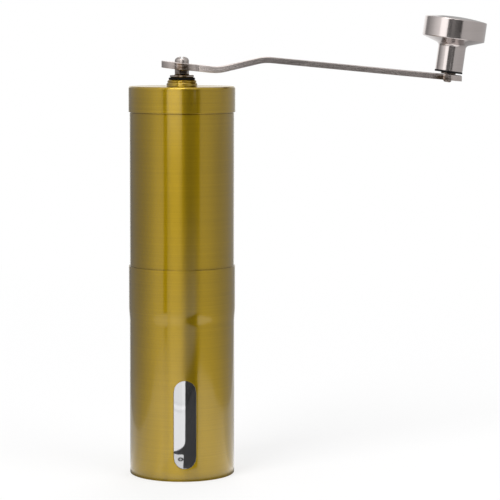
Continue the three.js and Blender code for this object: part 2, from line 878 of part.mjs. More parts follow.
// A domed head with a slot all the way across it and a shorter one crossing that.
function crankScrew() {
  const headZ = armSeatTopZ + seat / 2;
  const topZ = headZ + screwHeadHeight;
  const body = turned(
    [
      [0, headZ - screwLength],
      [screwRadius, headZ - screwLength],
      [screwRadius, headZ],
      [screwHead, headZ],
      [screwHead, headZ + 0.45 * screwHeadHeight],
      [0.86 * screwHead, headZ + 0.8 * screwHeadHeight],
      [0.5 * screwHead, headZ + 0.97 * screwHeadHeight],
      [0, topZ],
    ],
    midFacets,
  );
  const slotZ = topZ - screwSlotDepth;
  const reach = screwHead + overshoot;
  const slot = raised(bar(-reach, reach, screwSlot), slotZ, topZ + overshoot).rotate([0, 0, 90]);
  const cross = raised(bar(-screwHead / 2, screwHead / 2, screwSlot), slotZ, topZ + overshoot);
  return body.subtract(slot).subtract(cross);
}

place("drive_hub", driveHub(), steel());
place("crank_arm", crankArm(), steel());
place("crank_screw", crankScrew(), steel());

// Knob. Heights here are along its own leaning axis, from the middle of the arm.

const lean = Math.abs(knobTilt + reachSlope);
const armHalf = armThickness / 2 / Math.cos(lean);
const knobWasherZ = armHalf + knobWasherRadius * Math.tan(lean) + seat / 2;
const knobWasherTopZ = knobWasherZ + knobWasherThickness;
const coreZ = knobWasherTopZ + seat;
const shellZ = coreZ + coreRim + seat / 2;
const coreTopZ = shellZ + stemLength;
const axleHeadZ = -armHalf - axleHead * Math.tan(lean) - seat;
const axleClipZ = coreTopZ - coreRecess + seat;
const axleGroove = axleRadius - axleGrooveDepth;
const axleTopZ = axleClipZ + clipThickness + seat + axleTip;

function knobAxle() {
  return turned(
    [
      [0, axleHeadZ - axleHeadHeight],
      [0.7 * axleHead, axleHeadZ - axleHeadHeight],
      [axleHead, axleHeadZ - axleHeadHeight / 2],
      [axleHead, axleHeadZ],
      [axleRadius, axleHeadZ],
      [axleRadius, axleClipZ],
      [axleGroove, axleClipZ],
      [axleGroove, axleClipZ + clipThickness + seat],
      [axleRadius, axleClipZ + clipThickness + seat],
      [axleRadius, axleTopZ],
      [0, axleTopZ],
    ],
    smallFacets,
  );
}

function knobCore() {
  const bore = axleRadius + running;
  return turned(
    [
      [bore, coreZ],
      [stemRadius, coreZ],
      [stemRadius, coreZ + coreRim],
      [coreRadius, coreZ + coreRim],
      [coreRadius, coreTopZ],
      [coreRecessRadius, coreTopZ],
      [coreRecessRadius, coreTopZ - coreRecess],
      [bore, coreTopZ - coreRecess],
    ],
    midFacets,
  );
}

// A thin cap with a low dome, whose underside slopes in to a stem that is open below.
function knobCap() {
  const coneZ = shellZ + stemLength;
  const capZ = coneZ + coneHeight;
  const rimZ = capZ + capHeight;
  const topZ = rimZ + capCrown;
  const domeRadius = (capRadius ** 2 + capCrown ** 2) / (2 * capCrown);
  const domeZ = (r) => topZ - domeRadius + Math.sqrt(domeRadius ** 2 - r ** 2);
  const shoulder = capRadius - capCorner;
  const bore = stemRadius - knobShell;
  const filletX = stemRadius + stemFillet;
  const filletZ = coneZ - stemFillet / 2;
  const dome = (r, drop = 0) => [r, domeZ(r) - drop];
  return turned(
    [
      [stemRadius, shellZ],
      ...arc(filletX, filletZ, stemFillet, 180, 115, 3),
      [capRadius - capCorner, capZ - capCorner / 4],
      [capRadius, capZ + capCorner / 2],
      [capRadius, rimZ - capCorner],
      ...arc(shoulder, rimZ - capCorner, capCorner, 30, 60, 1),
      dome(shoulder),
      dome(0.7 * shoulder),
      dome(0.35 * shoulder),
      [0, topZ],
      [0, topZ - knobShell],
      dome(0.7 * shoulder, knobShell),
      [capRadius - knobShell, rimZ - knobShell],
      [capRadius - knobShell, capZ + knobShell],
      [filletX, coneZ + stemFillet / 2 + knobShell],
      [bore, filletZ + knobShell],
      [bore, shellZ],
    ],
    midFacets,
  );
}

const knob = new THREE.Group();
knob.position.set(knobX, 0, armAtKnob);
knob.rotation.y = knobTilt;
grinder.add(knob);

const knobWasher = tube(axleRadius + slip, knobWasherRadius, knobWasherZ, knobWasherTopZ, smallFacets);

place("knob_axle", knobAxle(), steel(), knob);
place("knob_washer", knobWasher, steel(), knob);
place("axle_clip", openClip(axleGroove, axleClipRadius, axleClipZ), steel(), knob);
place("knob_core", knobCore(), rubber(), knob);
place("knob_shell", knobCap(), steel(), knob);

export default grinder;
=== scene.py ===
import math

import bmesh
import bpy
from mathutils import Matrix, Vector


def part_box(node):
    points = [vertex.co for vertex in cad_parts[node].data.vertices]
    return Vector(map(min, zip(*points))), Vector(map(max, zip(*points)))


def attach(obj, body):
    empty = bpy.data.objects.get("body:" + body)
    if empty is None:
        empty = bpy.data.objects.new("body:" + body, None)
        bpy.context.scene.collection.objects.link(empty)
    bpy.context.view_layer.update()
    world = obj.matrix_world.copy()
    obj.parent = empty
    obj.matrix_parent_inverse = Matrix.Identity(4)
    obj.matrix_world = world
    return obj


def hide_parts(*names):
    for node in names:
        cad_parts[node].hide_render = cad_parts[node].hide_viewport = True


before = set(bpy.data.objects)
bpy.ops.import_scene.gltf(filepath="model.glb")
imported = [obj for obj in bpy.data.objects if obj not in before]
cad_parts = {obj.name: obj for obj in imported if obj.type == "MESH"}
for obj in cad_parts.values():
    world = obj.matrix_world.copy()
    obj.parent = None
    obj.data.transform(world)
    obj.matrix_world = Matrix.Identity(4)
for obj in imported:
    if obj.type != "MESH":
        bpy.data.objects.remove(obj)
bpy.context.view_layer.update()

MM = 0.001
scene = bpy.context.scene
scene.view_settings.view_transform = "Standard"


# Camera: a long lens in front of the grinder, a little to the right of its axis and looking slightly down.

CAMERA_PLACE = (0.03217, -1.0, 0.20816)
LOOK_DOWN, ROLL = 0.1014, 0.0024  # in radians
camera_data = bpy.data.cameras.new("camera")
camera_data.sensor_width = 36
camera_data.lens = 152.9
camera = bpy.data.objects.new("camera", camera_data)
camera.matrix_world = (
    Matrix.Translation(CAMERA_PLACE)
    @ Matrix.Rotation(math.pi / 2 - LOOK_DOWN, 4, "X")
    @ Matrix.Rotation(ROLL, 4, "Z")
)
scene.collection.objects.link(camera)
scene.camera = camera


# Mesh helpers. Profiles and plans are in millimetres.

MERGE_DISTANCE = 1e-4
TINY = 1e-6  # a radius or a difference in height below this counts as none
SECOND_SLOT = 1  # index of a piece's second material


def arc(x, y, radius, start, end, steps):
    """Points of an arc between two angles in degrees, ends included."""
    angles = [math.radians(start + (end - start) * i / steps) for i in range(steps + 1)]
    return [(x + radius * math.cos(a), y + radius * math.sin(a)) for a in angles]


def value_on(line, x):
    """The value at x on a line of (x, value) points. Past the last point it stays the same."""
    for (x0, v0), (x1, v1) in zip(line, line[1:]):
        if x <= x1:
            return v0 + (v1 - v0) * (x - x0) / (x1 - x0)
    return line[-1][1]


def rounded(points, closed=True, steps=4):
    """A polygon's points, each an (x, y) or an (x, y, fillet radius), with its corners rounded."""
    out = []
    for i, p in enumerate(points):
        if len(p) < 3 or (not closed and i in (0, len(points) - 1)):
            out.append((p[0], p[1]))
            continue
        here = Vector(p[:2])
        back = Vector(points[i - 1][:2]) - here
        ahead = Vector(points[(i + 1) % len(points)][:2]) - here
        half = back.angle(ahead) / 2
        reach = min(p[2] / math.tan(half), 0.49 * back.length, 0.49 * ahead.length)
        radius = reach * math.tan(half)
        centre = here + (back.normalized() + ahead.normalized()).normalized() * (radius / math.sin(half))
        start = here + back.normalized() * reach - centre
        sweep = start.angle_signed(here + ahead.normalized() * reach - centre)
        for k in range(steps + 1):
            turn = -sweep * k / steps
            c, s = math.cos(turn), math.sin(turn)
            out.append((centre.x + c * start.x - s * start.y, centre.y + s * start.x + c * start.y))
    return out


def lathe(profile, segments=192, closed=True):
    """A bmesh of a profile of (radius, height) points turned round Z."""
    bm = bmesh.new()
    rings = []
    for r, z in profile:
        if r < TINY:
            rings.append([bm.verts.new((0, 0, z))])
        else:
            angles = [2 * math.pi * k / segments for k in range(segments)]
            rings.append([bm.verts.new((r * math.cos(a), r * math.sin(a), z)) for a in angles])
    pairs = list(zip(rings, rings[1:]))
    if closed and len(rings[0]) > 1:
        pairs.append((rings[-1], rings[0]))
    for a, b in pairs:
        for k in range(segments):
            n = (k + 1) % segments
            corners = [a[k % len(a)], a[n % len(a)], b[n % len(b)], b[k % len(b)]]
            unique = list(dict.fromkeys(corners))
            if len(unique) > 2:
                bm.faces.new(unique)
    return bm


def prism(outline, z0, z1, bevel=0.0):
    """A bmesh of a plan raised from z0 to z1, with small bevels at its ends."""
    bm = bmesh.new()
    verts = [bm.verts.new((x, y, z0)) for x, y in outline]
    face = bm.faces.new(verts)
    raised = bmesh.ops.extrude_face_region(bm, geom=[face])
    moved = [g for g in raised["geom"] if isinstance(g, bmesh.types.BMVert)]
    bmesh.ops.translate(bm, vec=(0, 0, z1 - z0), verts=moved)
    if bevel:
        flat = [e for e in bm.edges if abs(e.verts[0].co.z - e.verts[1].co.z) < TINY]
        bmesh.ops.bevel(bm, geom=flat, offset=bevel, segments=2, profile=0.5, affect="EDGES")
    return bm


def block(x, y, z0, z1):
    """A bmesh of a box about the Z axis, x and y being half its sizes."""
    return prism([(-x, -y), (x, -y), (x, y), (-x, y)], z0, z1)


def add_object(name, bm):
    """Puts a bmesh in the scene as an object."""
    mesh = bpy.data.meshes.new(name)
    bm.to_mesh(mesh)
    bm.free()
    thing = bpy.data.objects.new(name, mesh)
    scene.collection.objects.link(thing)
    return thing


def smooth(mesh, angle=32):
    """Smooth shading, but sharp edges between faces that meet at more than an angle in degrees."""
    mesh.polygons.foreach_set("use_smooth", [True] * len(mesh.polygons))
    mesh.set_sharp_from_angle(angle=math.radians(angle))


def flat_faces_win(piece):
    """Keeps a long face's shading straight beside a small rounding."""
    modifier = piece.modifiers.new("weighted_normals", "WEIGHTED_NORMAL")
    modifier.mode = "FACE_AREA"
    modifier.weight = 100
    modifier.keep_sharp = True


def to_object(name, bm, matrix=None, body=None, replaces=()):
    """Turns a bmesh in millimetres into a shaded piece that rides on a body."""
    bmesh.ops.remove_doubles(bm, verts=bm.verts, dist=MERGE_DISTANCE)
    bmesh.ops.recalc_face_normals(bm, faces=bm.faces)
    bmesh.ops.transform(bm, matrix=matrix or Matrix(), verts=bm.verts)
    bmesh.ops.scale(bm, vec=(MM, MM, MM), verts=bm.verts)
    piece = add_object(name, bm)
    smooth(piece.data)
    flat_faces_win(piece)
    if body:
        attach(piece, body)
    if replaces:
        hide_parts(*replaces)
    return piece


def cut(piece, cutters, operation="DIFFERENCE"):
    """Cuts bmeshes in millimetres out of a piece, or joins them to it."""
    for bm in cutters:
        bmesh.ops.recalc_face_normals(bm, faces=bm.faces)
        bmesh.ops.scale(bm, vec=(MM, MM, MM), verts=bm.verts)
        cutter = add_object("cutter", bm)
        modifier = piece.modifiers.new("cut", "BOOLEAN")
        modifier.operation = operation
        modifier.solver = "EXACT"
        modifier.object = cutter
        bpy.context.view_layer.update()
        depsgraph = bpy.context.evaluated_depsgraph_get()
        result = bpy.data.meshes.new_from_object(piece.evaluated_get(depsgraph))
        piece.modifiers.clear()
        old = piece.data
        piece.data = result
        bpy.data.meshes.remove(old)
        bpy.data.objects.remove(cutter)
    smooth(piece.data)
    flat_faces_win(piece)


def paint(piece, *materials):
    """Gives a piece these materials and no others. All its faces have the first."""
    piece.data.materials.clear()
    for material in materials:
        piece.data.materials.append(material)


# Materials

def new_material(name, color, metallic=0.0, roughness=0.5, **inputs):
    """A material and its shader. Further inputs are named as the shader's, such as specular_ior_level."""
    material = bpy.data.materials.new(name)
    material.use_nodes = True
    shader = material.node_tree.nodes["Principled BSDF"]
    shader.inputs["Base Color"].default_value = (*color, 1)
    shader.inputs["Metallic"].default_value = metallic
    shader.inputs["Roughness"].default_value = roughness
    for key, value in inputs.items():
        shader.inputs[key.replace("_", " ").title().replace("Ior", "IOR")].default_value = value
    return material, shader


class Nodes:
    """Short calls for a material's nodes."""

    def __init__(self, material):
        self.tree = material.node_tree
        self.place = self.add("ShaderNodeTexCoord").outputs["Object"]

    def add(self, kind, **settings):
        node = self.tree.nodes.new(kind)
        for key, value in settings.items():
            setattr(node, key, value)
        return node

    def link(self, source, target):
        self.tree.links.new(source, target)

    def surface(self, source):
        """Makes a shader the material's surface."""
        self.link(source.outputs[0], self.tree.nodes["Material Output"].inputs["Surface"])

    def stretched(self, scale):
        node = self.add("ShaderNodeMapping", vector_type="POINT")
        node.inputs["Scale"].default_value = scale
        self.link(self.place, node.inputs["Vector"])
        return node.outputs["Vector"]

    def noise(self, vector, scale=1.0, detail=3.0, roughness=0.6):
        node = self.add("ShaderNodeTexNoise")
        node.inputs["Scale"].default_value = scale
        node.inputs["Detail"].default_value = detail
        node.inputs["Roughness"].default_value = roughness
        self.link(vector, node.inputs["Vector"])
        return node.outputs["Fac"]

    def spread(self, value, low, high, from_low=0.3, from_high=0.7):
        """Maps from_low..from_high to low..high, and holds what is beyond."""
        node = self.add("ShaderNodeMapRange")
        node.inputs["From Min"].default_value = from_low
        node.inputs["From Max"].default_value = from_high
        node.inputs["To Min"].default_value = low
        node.inputs["To Max"].default_value = high
        self.link(value, node.inputs["Value"])
        return node.outputs["Result"]

    def math(self, operation, a, b=None):
        node = self.add("ShaderNodeMath", operation=operation)
        for socket, value in zip(node.inputs, (a, b)):
            if value is None:
                continue
            if isinstance(value, (int, float)):
                socket.default_value = value
            else:
                self.link(value, socket)
        return node.outputs[0]

    def mix(self, factor, a, b):
        """Mixes two colours, each a socket or a tuple."""
        node = self.add("ShaderNodeMix", data_type="RGBA")
        for socket, value in zip((node.inputs[0], node.inputs[6], node.inputs[7]), (factor, a, b)):
            if isinstance(value, tuple):
                socket.default_value = (*value, 1)
            else:
                self.link(value, socket)
        return node.outputs[2]

    def bump(self, height, strength, distance, shader):
        node = self.add("ShaderNodeBump")
        node.inputs["Strength"].default_value = strength
        node.inputs["Distance"].default_value = distance
        self.link(height, node.inputs["Height"])
        self.link(node.outputs["Normal"], shader.inputs["Normal"])


# A noise's scale along X, Y and Z gives it its direction
ROUND = (26.0, 26.0, 3600.0)
ALONG = (160.0, 2200.0, 2200.0)
EVEN = (900.0, 900.0, 900.0)
HEAT_STREAKS = (120.0, 700.0, 1300.0)
SCRATCHES = (330.0, 330.0, 2400.0)
BROWN = (0.095, 0.063, 0.04)
BRUSH_DEPTH, GRAIN_DEPTH = 0.00002, 0.00003  # in metres


def heated(n, color, places):
    """Mixes brown streaks into a colour near each (x, half width), but not on faces that look up or down."""
    x = n.add("ShaderNodeSeparateXYZ")
    n.link(n.place, x.inputs[0])
    streaks = n.noise(n.stretched(HEAT_STREAKS), detail=2.0)
    near = None
    for centre, half in places:
        away = n.math("ABSOLUTE", n.math("SUBTRACT", x.outputs["X"], centre))
        here = n.spread(away, 1.0, 0.0, half * 0.3, half * 1.1)
        near = here if near is None else n.math("MAXIMUM", near, here)
    up = n.add("ShaderNodeSeparateXYZ")
    n.link(n.add("ShaderNodeTexCoord").outputs["Normal"], up.inputs[0])
    near = n.math("MULTIPLY", near, n.spread(n.math("ABSOLUTE", up.outputs["Z"]), 1.0, 0.0, 0.2, 0.4))
    return n.mix(n.math("MULTIPLY", near, n.spread(streaks, 0.5, 1.0, 0.38, 0.55)), color, BROWN)


def brushed(name, dark, light, roughness, anisotropy, lines, run="round", bump=0.12, coat=0.0, ragged=0.0,
            tint_at=()):
    """Brushed metal: fine lines of a stretched noise in colour, roughness and height.

    The lines run round the Z axis or along X. ragged is how much coarser scratches add to the height. tint_at lists
    the places that heat has browned, as (x, half width) in metres."""
    material, shader = new_material(name, dark, 1.0, roughness, anisotropic=anisotropy, anisotropic_rotation=0.25,
                                    coat_weight=coat, coat_roughness=0.1)
    n = Nodes(material)
    fine = n.noise(n.stretched(lines), detail=3.0, roughness=0.75)
    broad = n.noise(n.stretched(tuple(v * 0.3 for v in lines)), detail=2.0)
    smudge = n.noise(n.place, scale=38.0, detail=3.0)
    both = n.math("ADD", n.math("MULTIPLY", fine, 0.6), n.math("MULTIPLY", broad, 0.4))
    color = n.mix(n.spread(both, 0.0, 1.0), dark, light)
    if tint_at:
        color = heated(n, color, tint_at)
    n.link(color, shader.inputs["Base Color"])
    rough = n.math("ADD", n.spread(both, -0.05, 0.05), n.spread(smudge, roughness - 0.02, roughness + 0.03))
    n.link(rough, shader.inputs["Roughness"])
    height = fine
    if ragged:
        scratches = n.noise(n.stretched(SCRATCHES), detail=2.0)
        height = n.math("ADD", fine, n.math("MULTIPLY", scratches, ragged))
    n.bump(height, bump, BRUSH_DEPTH, shader)
    if run == "round":
        node = n.add("ShaderNodeTangent", direction_type="RADIAL", axis="Z")
    else:
        node = n.add("ShaderNodeVectorTransform", vector_type="VECTOR", convert_from="OBJECT", convert_to="WORLD")
        node.inputs[0].default_value = (1, 0, 0)
    n.link(node.outputs[0], shader.inputs["Tangent"])
    return material


def simple(name, color, roughness, grain=900.0, bump=0.1, **inputs):
    """A moulded or cast material with a fine grain."""
    material, shader = new_material(name, color, 0.0, roughness, **inputs)
    n = Nodes(material)
    speck = n.noise(n.place, scale=grain, detail=4.0)
    cloud = n.noise(n.place, scale=grain / 12, detail=2.0)
    lighter = tuple(min(1.0, c * 1.18 + 0.004) for c in color)
    darker = tuple(c * 0.86 for c in color)
    n.link(n.mix(n.spread(cloud, 0.0, 1.0), darker, lighter), shader.inputs["Base Color"])
    n.link(n.spread(speck, roughness - 0.06, roughness + 0.08), shader.inputs["Roughness"])
    n.bump(speck, bump, GRAIN_DEPTH, shader)
    return material


gold = brushed("gold_brushed", (0.284, 0.181, 0.0007), (0.376, 0.241, 0.003), 0.41, 0.92, ROUND,
               coat=0.9, ragged=6.0)
gold_lid = brushed("gold_lid", (0.295, 0.187, 0.001), (0.40, 0.257, 0.004), 0.33, 0.8, ROUND,
                   coat=0.9, ragged=6.0)
# The lid's flat top is tinted at low angles too, where metal would otherwise turn white
gold_top = brushed("gold_lid_top", (0.36, 0.25, 0.035), (0.46, 0.32, 0.05), 0.16, 0.0, ROUND, bump=0.04)
gold_top.node_tree.nodes["Principled BSDF"].inputs["Specular Tint"].default_value = (0.44, 0.36, 0.13, 1)
steel_round = brushed("steel_round", (0.43, 0.388, 0.375), (0.49, 0.442, 0.427), 0.17, 0.4, ROUND, bump=0.05)
steel_hub = brushed("steel_hub", (0.40, 0.36, 0.345), (0.48, 0.43, 0.415), 0.17, 0.4, ROUND, bump=0.05,
                    tint_at=[(0.0, 0.0048)])
steel_bar = brushed("steel_bar", (0.42, 0.372, 0.35), (0.50, 0.446, 0.425), 0.26, 0.8, ALONG, run="along",
                    bump=0.08, tint_at=[(0.0003, 0.0052), (0.1215, 0.005)])
steel_small = brushed("steel_small", (0.36, 0.325, 0.305), (0.46, 0.418, 0.395), 0.26, 0.0, EVEN, bump=0.08)
steel_rivet = brushed("steel_rivet", (0.10, 0.075, 0.06), (0.26, 0.22, 0.195), 0.3, 0.0, EVEN, bump=0.1)
rubber = simple("black_rubber", (0.004, 0.004, 0.0042), 0.55, specular_ior_level=0.06)
dark_plastic = simple("dark_plastic", (0.030, 0.030, 0.032), 0.46)
ceramic = simple("ceramic", (0.80, 0.77, 0.70), 0.5, grain=1400.0)
brass = brushed("brass_turned", (0.44, 0.30, 0.08), (0.58, 0.42, 0.14), 0.3, 0.3, ROUND, bump=0.08)

pane, pane_shader = new_material("clear_window", (0.515, 0.515, 0.525), 0.78, 0.03, transmission_weight=1.0)
pane_nodes = Nodes(pane)
pane_nodes.link(pane_nodes.spread(pane_nodes.noise(pane_nodes.place, scale=160.0), 0.015, 0.05),
                pane_shader.inputs["Roughness"])

inside = brushed("steel_inside", (0.12, 0.11, 0.10), (0.17, 0.155, 0.145), 0.36, 0.4, ROUND, bump=0.06)


# Sizes and places of the body, in millimetres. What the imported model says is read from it.

def span(node):
    """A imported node's lowest and highest corner."""
    low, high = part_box(node)
    return low / MM, high / MM


GAP, SMALL_GAP = 0.1, 0.05  # between pieces that touch
WALL = 0.45
EDGE = 0.14  # rounding of the wall's edges
EDGE_MIDDLE = 0.041  # how deep the middle of that rounding lies under both faces
SWAGE_STEP = 0.4
container_high = span("container_tube")[1]
tube_low, tube_high = span("upper_tube")
lid_low, lid_high = span("lid")
MOUTH_RADIUS = container_high.x
CONTAINER_RADIUS = MOUTH_RADIUS - SWAGE_STEP
TUBE_RADIUS = tube_high.x
SEAT_Z = tube_low.z
RIM_Z = container_high.z
SWAGE_Z, SWAGE_HEIGHT, SWAGE_STEPS = SEAT_Z - 5.2, 7.4, 8
LEVELS_BELOW_SWAGE, LEVELS_ABOVE_SWAGE = [60.0, 68.0], [84.0, 91.0]
WINDOW_WIDTH, WINDOW_LOW, WINDOW_HIGH = 10.6, 6.0, 47.6
WINDOW_ANGLE = -math.pi / 2 + math.radians(4.9)


# Container tube: a grid over angle and height. A block of it in front is rebuilt as quads round the slot.

COLUMNS = 192
COLUMN_ANGLE = 2 * math.pi / COLUMNS
BLOCK_COLUMNS, BLOCK_ROWS = 22, 18
BLOCK_LOW, BLOCK_HIGH = 2.4, 51.4
BLOCK_RINGS, RING_SPREAD = 7, 0.8  # rings of quads from the block to the slot, and the power that spaces them
OUTSIDE = 0.0  # depth of the outer face, as WALL is that of the inner one
LENGTH_SLACK = 1e-9


def slot_outline(offset):
    """The slot's outline as (across, height), one point for each point round the block."""
    half = WINDOW_WIDTH / 2
    radius = half + offset
    top, bottom = WINDOW_HIGH - half, WINDOW_LOW + half
    dense = arc(0, top, radius, 45, 0, 24) + arc(0, bottom, radius, 0, -45, 24)
    lengths = [0.0]
    for p, q in zip(dense, dense[1:]):
        lengths.append(lengths[-1] + math.dist(p, q))
    right = []
    for i in range(BLOCK_ROWS + 1):
        want = lengths[-1] * i / BLOCK_ROWS
        j = next(k for k in range(1, len(dense)) if lengths[k] >= want - LENGTH_SLACK)
        t = (want - lengths[j - 1]) / (lengths[j] - lengths[j - 1])
        right.append(tuple(a + (b - a) * t for a, b in zip(dense[j - 1], dense[j])))
    over = arc(0, top, radius, 135, 45, BLOCK_COLUMNS)
    under = arc(0, bottom, radius, -45, -135, BLOCK_COLUMNS)
    left = [(-x, z) for x, z in reversed(right)]
    return over[:-1] + right[:-1] + under[:-1] + left[:-1]


def slot_loop(offset, depth):
    """The slot's outline on the wall, as (angle, height, radius)."""
    r = CONTAINER_RADIUS - depth
    return [(WINDOW_ANGLE + math.asin(x / CONTAINER_RADIUS), z, r) for x, z in slot_outline(offset)]


def block_border(grid):
    """The block's own points, from its upper left corner round to the right."""
    top, bottom = grid[BLOCK_ROWS + 1], grid[1]
    over = [top[k] for k in range(BLOCK_COLUMNS)]
    right = [grid[BLOCK_ROWS + 1 - i][BLOCK_COLUMNS] for i in range(BLOCK_ROWS)]
    under = [bottom[BLOCK_COLUMNS - k] for k in range(BLOCK_COLUMNS)]
    left = [grid[1 + i][0] for i in range(BLOCK_ROWS)]
    return over + right + under + left


def container_tube():
    """A bmesh of the wall, with its wider mouth, rounded edges and slot."""
    swage = [(SWAGE_Z + SWAGE_HEIGHT * i / SWAGE_STEPS, SWAGE_STEP * (0.5 - 0.5 * math.cos(math.pi * i / SWAGE_STEPS)))
             for i in range(SWAGE_STEPS + 1)]
    levels = [EDGE] + [BLOCK_LOW + (BLOCK_HIGH - BLOCK_LOW) * i / BLOCK_ROWS for i in range(BLOCK_ROWS + 1)]
    levels += LEVELS_BELOW_SWAGE + [z for z, _ in swage] + LEVELS_ABOVE_SWAGE + [RIM_Z - EDGE]
    first = WINDOW_ANGLE - BLOCK_COLUMNS * COLUMN_ANGLE / 2
    bm = bmesh.new()

    def point(angle, z, depth):
        r = CONTAINER_RADIUS + value_on(swage, max(z, SWAGE_Z)) - depth
        return bm.verts.new((r * math.cos(angle), r * math.sin(angle), z))

    def ring(z, depth):
        return [point(first + k * COLUMN_ANGLE, z, depth) for k in range(COLUMNS)]

    def join(a, b):
        for k in range(len(a)):
            n = (k + 1) % len(a)
            bm.faces.new((a[k], a[n], b[n], b[k]))

    surfaces = {}
    for depth in (OUTSIDE, WALL):
        grid = [ring(z, depth) for z in levels]
        surfaces[depth] = grid
        for i in range(len(levels) - 1):
            in_block = 1 <= i <= BLOCK_ROWS
            for k in range(COLUMNS):
                if in_block and k < BLOCK_COLUMNS:
                    continue
                n = (k + 1) % COLUMNS
                bm.faces.new((grid[i][k], grid[i][n], grid[i + 1][n], grid[i + 1][k]))

    slot_rims = {}
    for depth, loop in ((OUTSIDE, slot_loop(EDGE, OUTSIDE)), (WALL, slot_loop(0.0, WALL))):
        border = block_border(surfaces[depth])
        border_angles = [math.atan2(vert.co.y, vert.co.x) for vert in border]
        previous = border
        for j in range(1, BLOCK_RINGS + 1):
            t = (j / BLOCK_RINGS) ** RING_SPREAD
            current = [point(a + (angle - a) * t, vert.co.z + (z - vert.co.z) * t, depth)
                       for vert, a, (angle, z, _) in zip(border, border_angles, loop)]
            join(previous, current)
            previous = current
        slot_rims[depth] = previous
    previous = slot_rims[OUTSIDE]
    for offset, depth in ((EDGE_MIDDLE, EDGE_MIDDLE), (0.0, EDGE)):
        current = [bm.verts.new((r * math.cos(a), r * math.sin(a), z)) for a, z, r in slot_loop(offset, depth)]
        join(previous, current)
        previous = current
    join(previous, slot_rims[WALL])

    for end, z, sign in ((0, 0.0, 1), (-1, RIM_Z, -1)):
        previous = surfaces[OUTSIDE][end]
        for depth, rise in ((EDGE_MIDDLE, EDGE_MIDDLE), (EDGE, 0.0), (WALL - EDGE, 0.0),
                            (WALL - EDGE_MIDDLE, EDGE_MIDDLE)):
            current = ring(z + sign * rise, depth)
            join(previous, current)
            previous = current
        join(previous, surfaces[WALL][end])
    return bm


def inner_faces(piece, radius):
    """Gives the second material to the faces that look inwards within a radius in millimetres."""
    for polygon in piece.data.polygons:
        c = polygon.center / MM
        if math.hypot(c.x, c.y) < radius and polygon.normal.x * c.x + polygon.normal.y * c.y < -0.2:
            polygon.material_index = SECOND_SLOT


container = to_object("container_wall", container_tube(), body="container", replaces=["container_tube"])
paint(container, gold, inside)
inner_faces(container, MOUTH_RADIUS - 0.2)
# The slot's right-hand edge, which looks left, is dark too: painted shade, in the inside's dark steel
for polygon in container.data.polygons:
    c = polygon.center / MM
    in_slot = c.y < 0 and c.z < WINDOW_HIGH and math.hypot(c.x, c.y) < CONTAINER_RADIUS - 0.15
    if in_slot and polygon.normal.x < -0.2:
        polygon.material_index = SECOND_SLOT


# Base, pane, tube and lid

def turned(name, profile, material, node, body, segments=192, matrix=None, closed=True):
    """A piece turned from a profile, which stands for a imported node."""
    piece = to_object(name, lathe(profile, segments, closed), matrix=matrix, body=body, replaces=[node])
    paint(piece, material)
    return piece


base_radius = CONTAINER_RADIUS - WALL - SMALL_GAP
BASE_FLOOR, BASE_HEIGHT = 1.0, 2.5
base_profile = [
    (0, 0),
    (base_radius, 0, 0.5),
    (base_radius, BASE_HEIGHT, 0.15),
    (base_radius - WALL, BASE_HEIGHT, 0.15),
    (base_radius - WALL, BASE_FLOOR, 0.4),
    (0, BASE_FLOOR),
]
turned("base_dish", rounded(base_profile, closed=False), gold, "container_base", "container",
       closed=False)

PANE_RADIUS = CONTAINER_RADIUS - WALL - GAP
PANE_MARGIN, PANE_THICKNESS = 3.0, 1.0


def window_pane():
    """A bmesh of the curved pane behind the slot."""
    low, high = span("window_pane")
    half_span = (WINDOW_WIDTH / 2 + PANE_MARGIN) / PANE_RADIUS
    start, end = math.degrees(WINDOW_ANGLE - half_span), math.degrees(WINDOW_ANGLE + half_span)
    front = arc(0, 0, PANE_RADIUS, start, end, 40)
    back = arc(0, 0, PANE_RADIUS - PANE_THICKNESS, end, start, 40)
    return prism(front + back, low.z, high.z, 0.1)


pane_piece = to_object("window_glazing", window_pane(), body="container", replaces=["window_pane"])
paint(pane_piece, pane)

bore = TUBE_RADIUS - WALL
groove_top = lid_low.z + GAP  # a fine groove under the lid gives its edge a dark line
groove_radius = TUBE_RADIUS - 0.25
tube_profile = [
    (TUBE_RADIUS, tube_low.z, EDGE),
    (TUBE_RADIUS, groove_top - 0.5),
    (groove_radius, groove_top - 0.4),
    (groove_radius, groove_top),
    (TUBE_RADIUS, groove_top),
    (TUBE_RADIUS, tube_high.z, EDGE),
    (bore, tube_high.z, EDGE),
    (bore, tube_low.z, EDGE),
]
tube_piece = turned("upper_wall", rounded(tube_profile), gold, "upper_tube", "upper")
tube_piece.data.materials.append(inside)
inner_faces(tube_piece, TUBE_RADIUS - 0.2)

NECK_BORE, NECK_HEIGHT = 6.0, 3.02
lid_top = lid_high.z - NECK_HEIGHT
lid_under = lid_top - WALL
lid_outer = lid_high.x
lid_inner = lid_outer - WALL
lid_profile = [
    (lid_outer, lid_low.z, 0.13),
    (lid_outer, lid_top, 1.0),
    (7.6, lid_top, 0.2),
    (7.32, lid_top + 0.35, 0.25),
    (7.28, lid_top + 1.15, 1.1),
    (6.92, lid_top + 1.7, 0.25),
    (6.72, lid_top + 1.88, 0.12),
    (6.88, lid_top + 2.12, 0.3),
    (6.84, lid_top + 2.55, 0.5),
    (6.4, lid_high.z, 0.3),
    (NECK_BORE, lid_high.z, 0.1),
    (NECK_BORE, lid_under, 0.1),
    (lid_inner, lid_under, 0.1),
    (lid_inner, lid_low.z, 0.1),
]
lid_piece = turned("lid_cap", rounded(lid_profile, steps=6), gold_lid, "lid", "lid")
lid_piece.data.materials.append(gold_top)
for polygon in lid_piece.data.polygons:
    if polygon.normal.z > 0.9 and polygon.center.z / MM > lid_top - 0.2:
        polygon.material_index = SECOND_SLOT

